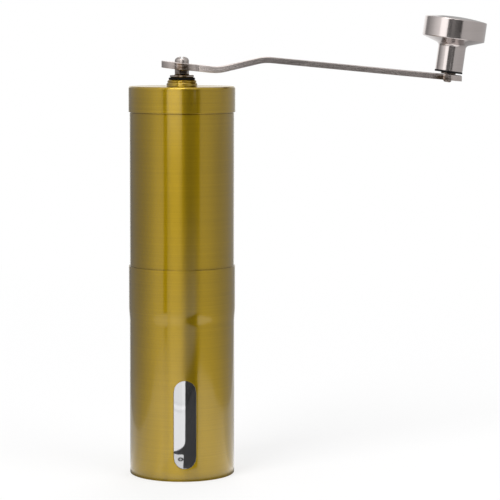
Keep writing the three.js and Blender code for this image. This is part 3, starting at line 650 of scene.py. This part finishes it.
grommet_low, grommet_high = span("lid_grommet")
GROMMET_BORE, GROMMET_RIM, GROMMET_LIP = 4.55, 6.2, 0.6
grommet_radius = NECK_BORE - GAP
grommet_profile = [
    (GROMMET_BORE, grommet_low.z, 0.2),
    (grommet_radius, grommet_low.z, 0.2),
    (grommet_radius + GROMMET_LIP, grommet_low.z + GROMMET_LIP, 0.2),
    (grommet_radius + GROMMET_LIP, lid_under - GAP, 0.1),
    (grommet_radius, lid_under - GAP),
    (grommet_radius, lid_high.z + GAP),
    (GROMMET_RIM, lid_high.z + GAP, 0.1),
    (GROMMET_RIM, grommet_high.z, 0.35),
    (GROMMET_BORE, grommet_high.z, 0.15),
]
turned("neck_grommet", rounded(grommet_profile), rubber, "lid_grommet", "lid", segments=128)


# Crank hub: a sleeve with a flange, a hexagonal neck and a spigot for the arm

hub_low, hub_high = span("drive_hub")
shaft_top = span("shaft")[1].z
FLANGE_Z = grommet_high.z + GAP
FLANGE_TOP = FLANGE_Z + 1.15
ARM_SEAT_Z = FLANGE_TOP + 3.15
ARM_SEAT_TOP = ARM_SEAT_Z + 1.7
SLEEVE_RADIUS, FLANGE_RADIUS, FLANGE_FOOT_RADIUS = 4.47, 5.7, 3.7
NECK_FLATS, SPIGOT_FLATS, EYE_FLATS, SOCKET_FLATS = 6.0, 4.8, 5.0, 5.19
HEX_TURN = 13
hub_profile = [
    (0, hub_low.z),
    (SLEEVE_RADIUS, hub_low.z, 0.3),
    (SLEEVE_RADIUS, FLANGE_Z, 0.1),
    (FLANGE_RADIUS, FLANGE_Z, 0.4),
    (FLANGE_RADIUS, FLANGE_TOP, 0.4),
    (FLANGE_FOOT_RADIUS, FLANGE_TOP, 0.5),
    (3.3, FLANGE_TOP + 0.5),
    (0, FLANGE_TOP + 0.5),
]


def hexagon(flats, ease=0.0):
    """A hexagon's plan, by its size across flats and the rounding of its corners."""
    corner = flats / math.sqrt(3)
    angles = [math.radians(60 * k + HEX_TURN) for k in range(6)]
    points = [(corner * math.cos(a), corner * math.sin(a), ease) for a in angles]
    return rounded(points, steps=3) if ease else [p[:2] for p in points]


hub = to_object("crank_hub", lathe(rounded(hub_profile, closed=False), 128), body="crank",
                replaces=["drive_hub"])
cut(hub, [
    prism(hexagon(NECK_FLATS, 0.35), FLANGE_TOP - 0.2, ARM_SEAT_Z),
    prism(hexagon(SPIGOT_FLATS, 0.2), ARM_SEAT_Z - 0.5, hub_high.z),
], "UNION")
cut(hub, [prism(hexagon(SOCKET_FLATS, 0.1), hub_low.z - 1, shaft_top + GAP)])
paint(hub, steel_hub)


# Crank arm: its side view is a line with two bends, its plan a bar with an eye at each end

ARM_THICKNESS, ARM_WIDTH, EYE_FILLET = 2.4, 12.0, 0.6
HUB_EYE, KNOB_EYE = 9.65, 6.65
KNOB_X = 124.8
SLOPES = [math.radians(a) for a in (-6.06, 13.37, -5.37)]
BENDS_X = (17.1, 38.8)
BEND_RADIUS, BEND_STEPS = 20.0, 8
START_X, PAST_KNOB = -12.0, 8.0  # where the line starts, and how far it runs on past the knob
LEAST_STEP = 0.02  # cuts closer than this to the one before are left out
arm_at_hub = ARM_SEAT_Z - 0.3 + ARM_THICKNESS / 2 / math.cos(SLOPES[0])
arm_at_bends = [arm_at_hub + BENDS_X[0] * math.tan(SLOPES[0])]
arm_at_bends.append(arm_at_bends[0] + (BENDS_X[1] - BENDS_X[0]) * math.tan(SLOPES[1]))
arm_at_knob = arm_at_bends[1] + (KNOB_X - BENDS_X[1]) * math.tan(SLOPES[2])

# (x, height of the top face, height of the bottom face) from the centre line: the arm is a little thicker at the hub
ARM_FACES = [(START_X, 1.66, -1.58), (10.0, 1.63, -1.54), (17.0, 1.56, -1.48), (38.0, 1.38, -1.46),
             (46.0, 1.28, -1.43), (134.0, 1.28, -1.43)]
TOP_FACE, BOTTOM_FACE = 1, 2  # their places in those rows
BEVEL_UNDER, BEVEL_OVER, HALF_THICKNESS = 0.15, 0.48, 1.4
CLOSE_X, FIRST_EVEN_X, EVEN_STEP = 12.0, 50.0, 10  # closely cut up to here from the hub, then every 10 mm from there


def arm_line():
    """Points (x, z, slope) of the arm's centre line."""
    points = [(START_X, arm_at_hub + START_X * math.tan(SLOPES[0]), SLOPES[0])]
    for i, (x, z) in enumerate(zip(BENDS_X, arm_at_bends)):
        before, after = SLOPES[i], SLOPES[i + 1]
        side = 1 if after > before else -1
        setback = BEND_RADIUS * math.tan(abs(after - before) / 2)
        sx, sz = x - setback * math.cos(before), z - setback * math.sin(before)
        cx, cz = sx - side * BEND_RADIUS * math.sin(before), sz + side * BEND_RADIUS * math.cos(before)
        for k in range(BEND_STEPS + 1):
            a = before + (after - before) * k / BEND_STEPS
            points.append((cx + side * BEND_RADIUS * math.sin(a), cz - side * BEND_RADIUS * math.cos(a), a))
    points.append((KNOB_X + PAST_KNOB, arm_at_knob + PAST_KNOB * math.tan(SLOPES[2]), SLOPES[2]))
    return points


def side_of_arm(face):
    """The line of the arm's top or bottom face, as (x, z)."""
    points = []
    for x, z, a in arm_line():
        away = value_on([(row[0], row[face]) for row in ARM_FACES], x)
        points.append((x - away * math.sin(a), z + away * math.cos(a)))
    return points


def arm_half_width(x, inset=0.0):
    """Half the arm's width at x, drawn in by an inset all round."""
    width = ARM_WIDTH / 2
    across = width + EYE_FILLET
    result = 0.0
    for centre, eye in ((0.0, HUB_EYE), (KNOB_X, KNOB_EYE)):
        reach = math.sqrt((eye + EYE_FILLET) ** 2 - across ** 2)
        d = abs(x - centre)
        inward = x > centre if centre == 0.0 else x < centre
        touch = reach * eye / (eye + EYE_FILLET)
        if d < eye - inset and (d <= touch or not inward):
            result = max(result, math.sqrt((eye - inset) ** 2 - d * d))
        elif inward and d < reach:
            result = max(result, across - math.sqrt((EYE_FILLET + inset) ** 2 - (reach - d) ** 2))
    if 0 < x < KNOB_X:
        result = max(result, width - inset)
    return result


def arm_sections():
    """Where the arm is cut across: closely round its eyes, and where its faces bend."""
    top, bottom = side_of_arm(TOP_FACE), side_of_arm(BOTTOM_FACE)
    xs = [HUB_EYE * -math.cos(math.pi / 2 * k / 22) for k in range(22)] + [CLOSE_X * k / 48 for k in range(49)]
    xs += [x for x, _, _ in arm_line() if CLOSE_X < x < KNOB_X - CLOSE_X]
    xs += [x for line in (top, bottom) for x, _ in line if CLOSE_X < x < KNOB_X - CLOSE_X]
    xs += [FIRST_EVEN_X + EVEN_STEP * k for k in range(7)]
    xs += [KNOB_X - EVEN_STEP + EVEN_STEP * k / 32 for k in range(32)]
    xs += [KNOB_X + KNOB_EYE * math.sin(math.pi / 2 * k / 18) for k in range(19)]
    xs = sorted(xs)
    return [x for i, x in enumerate(xs) if i == 0 or x - xs[i - 1] > LEAST_STEP]


def crank_arm():
    """A bmesh of the bar, with a broad bevel above and a fine one below."""
    top, bottom = side_of_arm(TOP_FACE), side_of_arm(BOTTOM_FACE)
    # (inset, height) round the arm's edge, the height going from -1 at the bottom face to 1 at the top
    edge = [(BEVEL_UNDER, -1.0), (BEVEL_UNDER * 0.3, -1.0 + 0.3 * BEVEL_UNDER / HALF_THICKNESS),
            (0.0, -1.0 + BEVEL_UNDER / HALF_THICKNESS), (0.0, 1.0 - BEVEL_OVER / HALF_THICKNESS),
            (BEVEL_OVER * 0.3, 1.0 - 0.3 * BEVEL_OVER / HALF_THICKNESS), (BEVEL_OVER, 1.0)]
    xs = arm_sections()
    bm = bmesh.new()
    loops = []
    for inset, w in edge:
        near, far = [], []
        for x in xs:
            drawn = min(max(x, -HUB_EYE + inset), KNOB_X + KNOB_EYE - inset)
            half = arm_half_width(drawn, inset)
            up, down = value_on(top, drawn), value_on(bottom, drawn)
            z = (up + down) / 2 + w * (up - down) / 2
            near.append(bm.verts.new((drawn, -half, z)))
            far.append(bm.verts.new((drawn, half, z)))
        loops.append((near, far))

    def quad(*corners):
        bm.faces.new(list(dict.fromkeys(corners)))

    for (near_a, far_a), (near_b, far_b) in zip(loops, loops[1:]):
        for i in range(len(xs) - 1):
            quad(near_a[i], near_a[i + 1], near_b[i + 1], near_b[i])
            quad(far_a[i + 1], far_a[i], far_b[i], far_b[i + 1])
        for end in (0, -1):
            quad(near_a[end], far_a[end], far_b[end], near_b[end])
    for near, far in (loops[0], loops[-1]):
        for i in range(len(xs) - 1):
            quad(near[i], near[i + 1], far[i + 1], far[i])
    bmesh.ops.remove_doubles(bm, verts=bm.verts, dist=MERGE_DISTANCE)
    bmesh.ops.dissolve_degenerate(bm, edges=bm.edges, dist=MERGE_DISTANCE)
    return bm


KNOB_TILT = math.radians(7.6)
knob_place = Matrix.Translation((KNOB_X, 0, arm_at_knob)) @ Matrix.Rotation(KNOB_TILT, 4, "Y")

arm = to_object("crank_bar", crank_arm(), body="crank", replaces=["crank_arm"])
AXLE_HOLE = 1.6
axle_hole = lathe([(0, -4), (AXLE_HOLE, -4), (AXLE_HOLE, 4), (0, 4)], 48)
bmesh.ops.transform(axle_hole, matrix=knob_place, verts=axle_hole.verts)
HEAD_SEAT, HUB_SEAT = 3.55, 3.66  # radii of the round seats for the screw's head and on the hub
BELOW_ARM, ABOVE_ARM = 180, 205
cut(arm, [
    lathe([(0, ARM_SEAT_TOP), (HEAD_SEAT, ARM_SEAT_TOP), (HEAD_SEAT, ABOVE_ARM), (0, ABOVE_ARM)], 96),
    lathe([(0, BELOW_ARM), (HUB_SEAT, BELOW_ARM), (HUB_SEAT, ARM_SEAT_Z + SMALL_GAP),
           (0, ARM_SEAT_Z + SMALL_GAP)], 96),
    prism(hexagon(EYE_FLATS), BELOW_ARM, ABOVE_ARM),
    axle_hole,
])
paint(arm, steel_bar)


# Screw on the hub

HEAD_Z = ARM_SEAT_TOP + SMALL_GAP
HEAD_HEIGHT, HEAD_SIDE, HEAD_RADIUS = 3.75, 1.6, 3.35
SCREW_RADIUS, SCREW_LENGTH = 1.5, 5.3
SLOT_HALF, SLOT_DEPTH, CROSS_REACH = 0.45, 1.2, 1.9
head_top = HEAD_Z + HEAD_HEIGHT
screw_profile = [
    (0, HEAD_Z - SCREW_LENGTH),
    (SCREW_RADIUS, HEAD_Z - SCREW_LENGTH, 0.3),
    (SCREW_RADIUS, HEAD_Z),
    (HEAD_RADIUS, HEAD_Z, 0.12),
    (HEAD_RADIUS, HEAD_Z + HEAD_SIDE),
]
screw_profile += [(HEAD_RADIUS * math.cos(a) ** 0.76, HEAD_Z + HEAD_SIDE + (HEAD_HEIGHT - HEAD_SIDE) * math.sin(a))
                  for a in [math.pi / 2 * k / 12 for k in range(1, 12)]]
screw_profile.append((0, head_top))
screw = to_object("hub_screw", lathe(rounded(screw_profile, closed=False), 96), body="crank",
                  replaces=["crank_screw"])
cut(screw, [
    block(SLOT_HALF, 5, head_top - SLOT_DEPTH, head_top + 1),
    block(CROSS_REACH, SLOT_HALF, head_top - SLOT_DEPTH, head_top + 1),
])
paint(screw, steel_small)


# Knob, on its own leaning axis. Heights are from the middle of the arm.

lean = abs(KNOB_TILT + SLOPES[2])
arm_half = ARM_THICKNESS / 2 / math.cos(lean)
WASHER_RADIUS, WASHER_THICKNESS, CORE_RIM = 3.5, 0.7, 0.7
STEM_LENGTH, CORE_LENGTH = 12.0, 12.0
washer_z = arm_half + WASHER_RADIUS * math.tan(lean) + SMALL_GAP
core_z = washer_z + WASHER_THICKNESS + GAP
shell_z = core_z + CORE_RIM + SMALL_GAP
cone_z = shell_z + STEM_LENGTH
cap_z = cone_z + 3.1
rim_z = cap_z + 9.08
CROWN = 1.3  # how much the cap's middle stands above its rim
CAP_RADIUS, STEM_RADIUS, SHEET = 14.585, 6.45, 0.6
dome_radius = (CAP_RADIUS ** 2 + CROWN ** 2) / (2 * CROWN)


def dome(r, drop=0.0):
    """A point of the cap's domed top, or of its underside where it is dropped by the sheet's thickness."""
    return (r, rim_z + CROWN - dome_radius + math.sqrt(dome_radius ** 2 - r ** 2) - drop)


knob_profile = [
    (STEM_RADIUS, shell_z, 0.12),
    (STEM_RADIUS, cone_z + 0.35, 1.7),
    (CAP_RADIUS, cap_z, 0.5),
    (*dome(CAP_RADIUS), 0.55),
]
knob_profile += [dome(CAP_RADIUS * (1 - k / 12)) for k in range(1, 12)]
knob_profile += [dome(0)]
knob_profile += [dome(0, SHEET)] + [dome(CAP_RADIUS * k / 8, SHEET) for k in range(1, 7)]
knob_profile += [
    (CAP_RADIUS - SHEET, rim_z - SHEET, 0.4),
    (CAP_RADIUS - SHEET, cap_z + SHEET, 0.4),
    (STEM_RADIUS - SHEET, cone_z + 0.9, 1.5),
    (STEM_RADIUS - SHEET, shell_z),
]
turned("knob_cap", rounded(knob_profile, steps=6), steel_round, "knob_shell", "knob", matrix=knob_place)

core_top = shell_z + CORE_LENGTH
core_radius = STEM_RADIUS - SHEET - GAP
CORE_BORE, CLIP_ROOM_RADIUS, CLIP_ROOM = 1.58, 3.7, 4.5
core_profile = [
    (CORE_BORE, core_z - 0.08, 0.15),
    (STEM_RADIUS + 0.1, core_z - 0.08, 0.25),
    (STEM_RADIUS + 0.1, core_z + 0.73, 0.1),
    (core_radius, core_z + 0.73),
    (core_radius, core_top, 0.2),
    (CLIP_ROOM_RADIUS, core_top, 0.2),
    (CLIP_ROOM_RADIUS, core_top - CLIP_ROOM),
    (CORE_BORE, core_top - CLIP_ROOM),
]
turned("knob_bush", rounded(core_profile), rubber, "knob_core", "knob", segments=96,
       matrix=knob_place)

PIN_RADIUS, PIN_GROOVE, RIVET_RADIUS = 1.5, 1.1, 1.9
head_z = -arm_half - RIVET_RADIUS * math.tan(lean) - GAP
clip_z = core_top - CLIP_ROOM + GAP
pin_profile = [
    (0, head_z - 1.0),
    (1.35, head_z - 1.0, 0.3),
    (RIVET_RADIUS, head_z - 0.45, 0.3),
    (RIVET_RADIUS, head_z, 0.1),
    (PIN_RADIUS, head_z),
    (PIN_RADIUS, clip_z),
    (PIN_GROOVE, clip_z),
    (PIN_GROOVE, clip_z + 0.8),
    (PIN_RADIUS, clip_z + 0.8),
    (PIN_RADIUS, clip_z + 1.8, 0.3),
    (0, clip_z + 1.8),
]
turned("knob_rivet", rounded(pin_profile, closed=False), steel_rivet, "knob_axle", "crank", segments=64,
       matrix=knob_place, closed=False)
washer_profile = [
    (AXLE_HOLE, washer_z, 0.08),
    (WASHER_RADIUS, washer_z, 0.08),
    (WASHER_RADIUS, washer_z + WASHER_THICKNESS, 0.08),
    (AXLE_HOLE, washer_z + WASHER_THICKNESS, 0.08),
]
turned("knob_spacer", rounded(washer_profile), steel_rivet, "knob_washer", "crank", segments=64,
       matrix=knob_place)


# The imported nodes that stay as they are

for node, material in {
    "burr_carrier": dark_plastic, "burr_retainer": dark_plastic, "adjusting_nut": dark_plastic,
    "shaft_bush": brass, "nut_insert": brass, "outer_burr": ceramic, "inner_burr": ceramic,
    "shaft": steel_small, "shaft_clip": steel_small, "upper_spring_washer": steel_small,
    "lower_spring_washer": steel_small, "burr_spring": steel_small, "click_plate": steel_small,
    "axle_clip": steel_small,
}.items():
    paint(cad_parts[node], material)


# Studio, in metres: a pale floor, a white surround, and panels that only the metal and the window reflect

WHITE = (1, 1, 1, 1)
world = bpy.data.worlds.new("studio")
scene.world = world
world.use_nodes = True
tree = world.node_tree
tree.nodes.clear()


def world_node(kind, inputs=(), **settings):
    """A node of the world, with its first inputs linked to other nodes' outputs."""
    node = tree.nodes.new(kind)
    for key, value in settings.items():
        setattr(node, key, value)
    for socket, source in zip(node.inputs, inputs):
        tree.links.new(source, socket)
    return node


out = world_node("ShaderNodeOutputWorld")
path = world_node("ShaderNodeLightPath").outputs
seen = world_node("ShaderNodeBackground")
seen.inputs["Color"].default_value = WHITE
lit = world_node("ShaderNodeBackground")
lit.inputs["Color"].default_value = (0.55, 0.55, 0.555, 1)
either = world_node("ShaderNodeMath", (path["Is Camera Ray"], path["Is Glossy Ray"]), operation="MAXIMUM")
any_of = world_node("ShaderNodeMath", (either.outputs[0], path["Is Transmission Ray"]), operation="MAXIMUM")
choose = world_node("ShaderNodeMixShader", (any_of.outputs[0], lit.outputs[0], seen.outputs[0]))
tree.links.new(choose.outputs[0], out.inputs["Surface"])


def plane(name, corners, material):
    """A flat piece of the studio."""
    bm = bmesh.new()
    bm.faces.new([bm.verts.new(c) for c in corners])
    piece = add_object(name, bm)
    piece.data.materials.append(material)
    return piece


# The floor turns white away from the grinder and in every reflection
FLOOR_REACH, FLOOR_Z = 6, -0.0002
floor_material, floor_shader = new_material("studio_floor", (0.9, 0.9, 0.9), 0.0, 0.9, specular_ior_level=0.0)
floor_nodes = Nodes(floor_material)
floor_glow = floor_nodes.add("ShaderNodeEmission")
floor_glow.inputs["Color"].default_value = WHITE
floor_path = floor_nodes.add("ShaderNodeLightPath")
seen_by = floor_nodes.math("MAXIMUM", floor_path.outputs["Is Glossy Ray"], floor_path.outputs["Is Transmission Ray"])
far_off = floor_nodes.add("ShaderNodeVectorMath", operation="LENGTH")
floor_nodes.link(floor_nodes.place, far_off.inputs[0])
share = floor_nodes.math("MULTIPLY", floor_path.outputs["Is Camera Ray"],
                         floor_nodes.spread(far_off.outputs["Value"], 0.65, 1.0, 0.25, 0.9))
share = floor_nodes.math("MAXIMUM", share, seen_by)
blend = floor_nodes.add("ShaderNodeMixShader")
floor_nodes.link(share, blend.inputs[0])
floor_nodes.link(floor_shader.outputs[0], blend.inputs[1])
floor_nodes.link(floor_glow.outputs[0], blend.inputs[2])
floor_nodes.surface(blend)
plane("studio_floor", [(x * FLOOR_REACH, y * FLOOR_REACH, FLOOR_Z) for x, y in ((-1, -1), (1, -1), (1, 1), (-1, 1))],
      floor_material)

glow_material = bpy.data.materials.new("studio_cloth")
glow_material.use_nodes = True
glow_nodes = Nodes(glow_material)
glow_nodes.tree.nodes.remove(glow_nodes.tree.nodes["Principled BSDF"])
glow_level = glow_nodes.add("ShaderNodeAttribute", attribute_name="level")
glow_light = glow_nodes.add("ShaderNodeEmission")
glow_nodes.link(glow_level.outputs["Color"], glow_light.inputs["Color"])
glow_nodes.surface(glow_light)


def reflected_only(piece):
    piece.visible_camera = False
    piece.visible_diffuse = False
    piece.visible_shadow = False
    piece.visible_transmission = False
    piece.visible_volume_scatter = False


def glow(name, grid):
    """A surface over rows of (x, y, z, level) points that glows at each point's level, for reflections only."""
    bm = bmesh.new()
    layer = bm.verts.layers.float_color.new("level")
    rows = []
    for row in grid:
        rows.append([bm.verts.new(point[:3]) for point in row])
        for vert, point in zip(rows[-1], row):
            vert[layer] = (point[3], point[3], point[3], 1.0)
    for a, b in zip(rows, rows[1:]):
        for k in range(len(a) - 1):
            bm.faces.new((a[k], a[k + 1], b[k + 1], b[k]))
    piece = add_object(name, bm)
    piece.data.materials.append(glow_material)
    reflected_only(piece)


def tent(name, line, rows):
    """An upright wall over a plan line of (x, y, level) points. Each row is a height and what it multiplies by."""
    glow(name, [[(x, y, z, level * factor) for z, factor in rows] for x, y, level in line])


# Walls that stand round the grinder, from its back by the left to its front. The body's dark band is the slit's
# reflection.
side_rows = [(0.0, 0.7), (0.1, 0.85), (0.2, 1.0), (0.35, 1.25), (0.6, 1.4), (1.2, 1.2)]
left_rows = [(0.0, 1.08), (0.06, 1.08), (0.1, 0.98), (0.17, 1.02), (0.21, 1.4), (0.25, 1.6), (0.6, 1.6), (1.2, 1.3)]
dark_rows = [(0.0, 0.10), (0.03, 0.2), (0.09, 0.9), (0.2, 1.0), (0.3, 1.2), (0.6, 3.0), (1.2, 5.0)]
slit_rows = [(0.0, 0.04), (0.014, 0.06), (0.024, 1.15), (0.045, 1.25), (0.06, 1.0), (0.085, 0.42), (0.11, 0.12),
             (0.18, 0.1), (0.2, 0.15), (0.27, 0.16), (0.33, 1.4), (0.6, 3.6), (1.2, 6.0)]
panel_rows = [(0.0, 1.05), (0.0012, 1.0), (0.002, 1.3), (0.0036, 1.3), (0.0046, 1.0), (0.0065, 1.1), (0.02, 1.12),
              (0.035, 0.9), (0.05, 0.7), (0.08, 0.54), (0.11, 0.34), (0.14, 0.48), (0.17, 1.2), (0.24, 1.5),
              (0.4, 1.6), (0.8, 1.6)]
PANEL_FOOT_HEIGHT = 0.02
tent("studio_rim", [(-0.12, 0.28, 1.2), (0.05, 0.36, 1.4)], side_rows)
tent("studio_left", [(-0.12, 0.25, 0.24), (-0.12, 0.14, 0.26), (-0.13, 0.03, 0.46), (-0.19, -0.05, 0.66),
                     (-0.30, -0.20, 0.83), (-0.32, -0.412, 0.86)], left_rows)
tent("studio_gap", [(-0.32, -0.412, 0.05), (0.02, -0.5, 0.05)], dark_rows)
tent("studio_panel", [(-0.062, -0.12, 1.45), (-0.075, -0.205, 1.5), (0.0055, -0.205, 1.5)], panel_rows)
tent("studio_panel_foot", [(0.0055, -0.2049, 1.6), (0.030, -0.2049, 1.6)],
     [row for row in panel_rows if row[0] <= PANEL_FOOT_HEIGHT])
tent("studio_slit", [(0.0055, -0.2052, 1.0), (0.13, -0.268, 1.0), (0.165, -0.286, 0.8), (0.19, -0.299, 0.5),
                     (0.2377, -0.2879, 0.45)], slit_rows)

# Cards before the slit at the height of the lid, the hub and the knob, each only as high as what it lights
tent("studio_card", [(-0.014, -0.2043, 1.1), (-0.004, -0.2043, 0.82), (0.0057, -0.2045, 0.7),
                     (0.030, -0.2105, 0.55), (0.045, -0.2165, 0.22), (0.058, -0.221, 0.06),
                     (0.095, -0.234, 0.06)], [(0.181, 1.0), (0.197, 1.0)])
tent("studio_card_low", [(0.118, -0.2435, 0.2), (0.126, -0.2475, 0.9), (0.148, -0.2585, 0.9),
                         (0.156, -0.2625, 0.2)], [(0.172, 1.0), (0.181, 1.0)])
tent("studio_card_end", [(0.095, -0.234, 0.06), (0.112, -0.241, 0.25), (0.124, -0.247, 1.4), (0.150, -0.260, 1.4),
                         (0.170, -0.270, 0.95), (0.2375, -0.2876, 0.75)],
     [(0.181, 1.0), (0.1858, 1.0), (0.1872, 0.1), (0.197, 0.1)])
tent("studio_shade", [(0.060, -0.228, 0.3), (0.112, -0.252, 0.3)], [(0.2, 1.0), (0.8, 1.0)])
tent("studio_right", [(0.2377, -0.2879, 0.74), (0.25, -0.26, 0.76), (0.28, -0.12, 0.76), (0.20, 0.02, 0.70),
                      (0.17, 0.14, 0.54), (0.16, 0.42, 0.42)], side_rows)
glow("studio_above", [[(-0.26, -0.42, 0.62, 8.0), (0.03, -0.42, 0.62, 8.0)],
                      [(-0.06, -0.03, 0.72, 8.0), (0.03, -0.03, 0.72, 8.0)]])


# Flat panels just above the floor, one over the other

GROUND_Z, CONTACT_Z, TRAY_Z, SPOT_Z, CLOTH_Z = 0.0001, 0.00015, 0.0002, 0.0003, 0.0004


def around(radius, angle):
    """A point at a radius and an angle in degrees."""
    return radius * math.cos(math.radians(angle)), radius * math.sin(math.radians(angle))


# The lit floor: bright in front, dimmer at the sides and behind, as (angle, level)
ground_levels = [(-90, 1.8), (-40, 1.8), (10, 1.1), (50, 0.75), (90, 0.5), (130, 0.7), (150, 1.0), (180, 1.25),
                 (200, 1.45), (230, 1.8), (270, 1.8)]
GROUND_RADIUS, GROUND_END = 0.25, 0.5
glow("studio_ground", [[(*around(r, a), GROUND_Z, level) for r in (0.0, GROUND_RADIUS)]
                       for a, level in ground_levels])
glow("studio_ground_far", [[(*around(GROUND_RADIUS, a), GROUND_Z, level), (*around(GROUND_END, a), GROUND_Z, 1.0)]
                           for a, level in ground_levels])

# The floor's contact shadow round the foot, as (radius, level)
contact_levels = ((0.0200, 0.05), (0.0265, 0.2), (0.0300, 1.5))
glow("studio_contact", [[(*around(r, a), CONTACT_Z, level) for r, level in contact_levels]
                        for a in range(0, 361, 10)])

# A pale tray with a dark rimmed spot on it, seen in the foot of the window
glow("studio_tray", [[(-0.03, y, TRAY_Z, 1.4), (0.012, y, TRAY_Z, 1.4)] for y in (-0.086, -0.040)])
SPOT_X, SPOT_Y, SPOT_WIDTH, SPOT_DEPTH = -0.0015, -0.0750, 0.0078, 0.0056  # its middle and its radii
spot_levels = ((0.0, 1.0), (0.35, 0.8), (0.5, 0.1), (0.8, 0.1), (1.0, 1.3))
glow("studio_spot", [[(SPOT_X + SPOT_WIDTH * f * math.cos(math.radians(a)),
                       SPOT_Y + SPOT_DEPTH * f * math.sin(math.radians(a)), SPOT_Z, level)
                      for f, level in spot_levels] for a in range(0, 361, 30)])

# A dark cloth in front, which only the window and the foot of the tube reflect
cloth_plan = rounded([(0.030, -0.2048), (0.0145, -0.110, 0.02), (-0.030, -0.0875), (-0.030, -0.0850),
                      (0.0070, -0.0865, 0.003), (0.0030, -0.0525), (0.0250, -0.0480), (0.2225, -0.319),
                      (0.19, -0.303), (0.13, -0.272), (0.030, -0.222)])
cloth_material, _ = new_material("studio_dark_cloth", (0.02, 0.018, 0.02), 0.0, 0.9)
cloth = plane("studio_dark_cloth", [(x, y, CLOTH_Z) for x, y in cloth_plan], cloth_material)
reflected_only(cloth)


# Lamps, which light what isn't metal

LAMP_AIM = (0.03, 0, 0.1)


def lamp(name, place, size, power):
    """A lamp that no reflection shows."""
    data = bpy.data.lights.new(name, "AREA")
    data.shape = "RECTANGLE"
    data.size, data.size_y = size
    data.energy = power
    piece = bpy.data.objects.new(name, data)
    piece.location = place
    piece.rotation_euler = (Vector(LAMP_AIM) - Vector(place)).to_track_quat("-Z", "Y").to_euler()
    piece.visible_camera = False
    piece.visible_glossy = False
    scene.collection.objects.link(piece)


lamp("key", (-0.9, -1.3, 1.3), (1.0, 1.0), 22)
lamp("fill", (1.3, -1.0, 0.9), (1.2, 1.2), 10)
lamp("back", (0.2, 1.4, 1.3), (1.2, 1.0), 10)
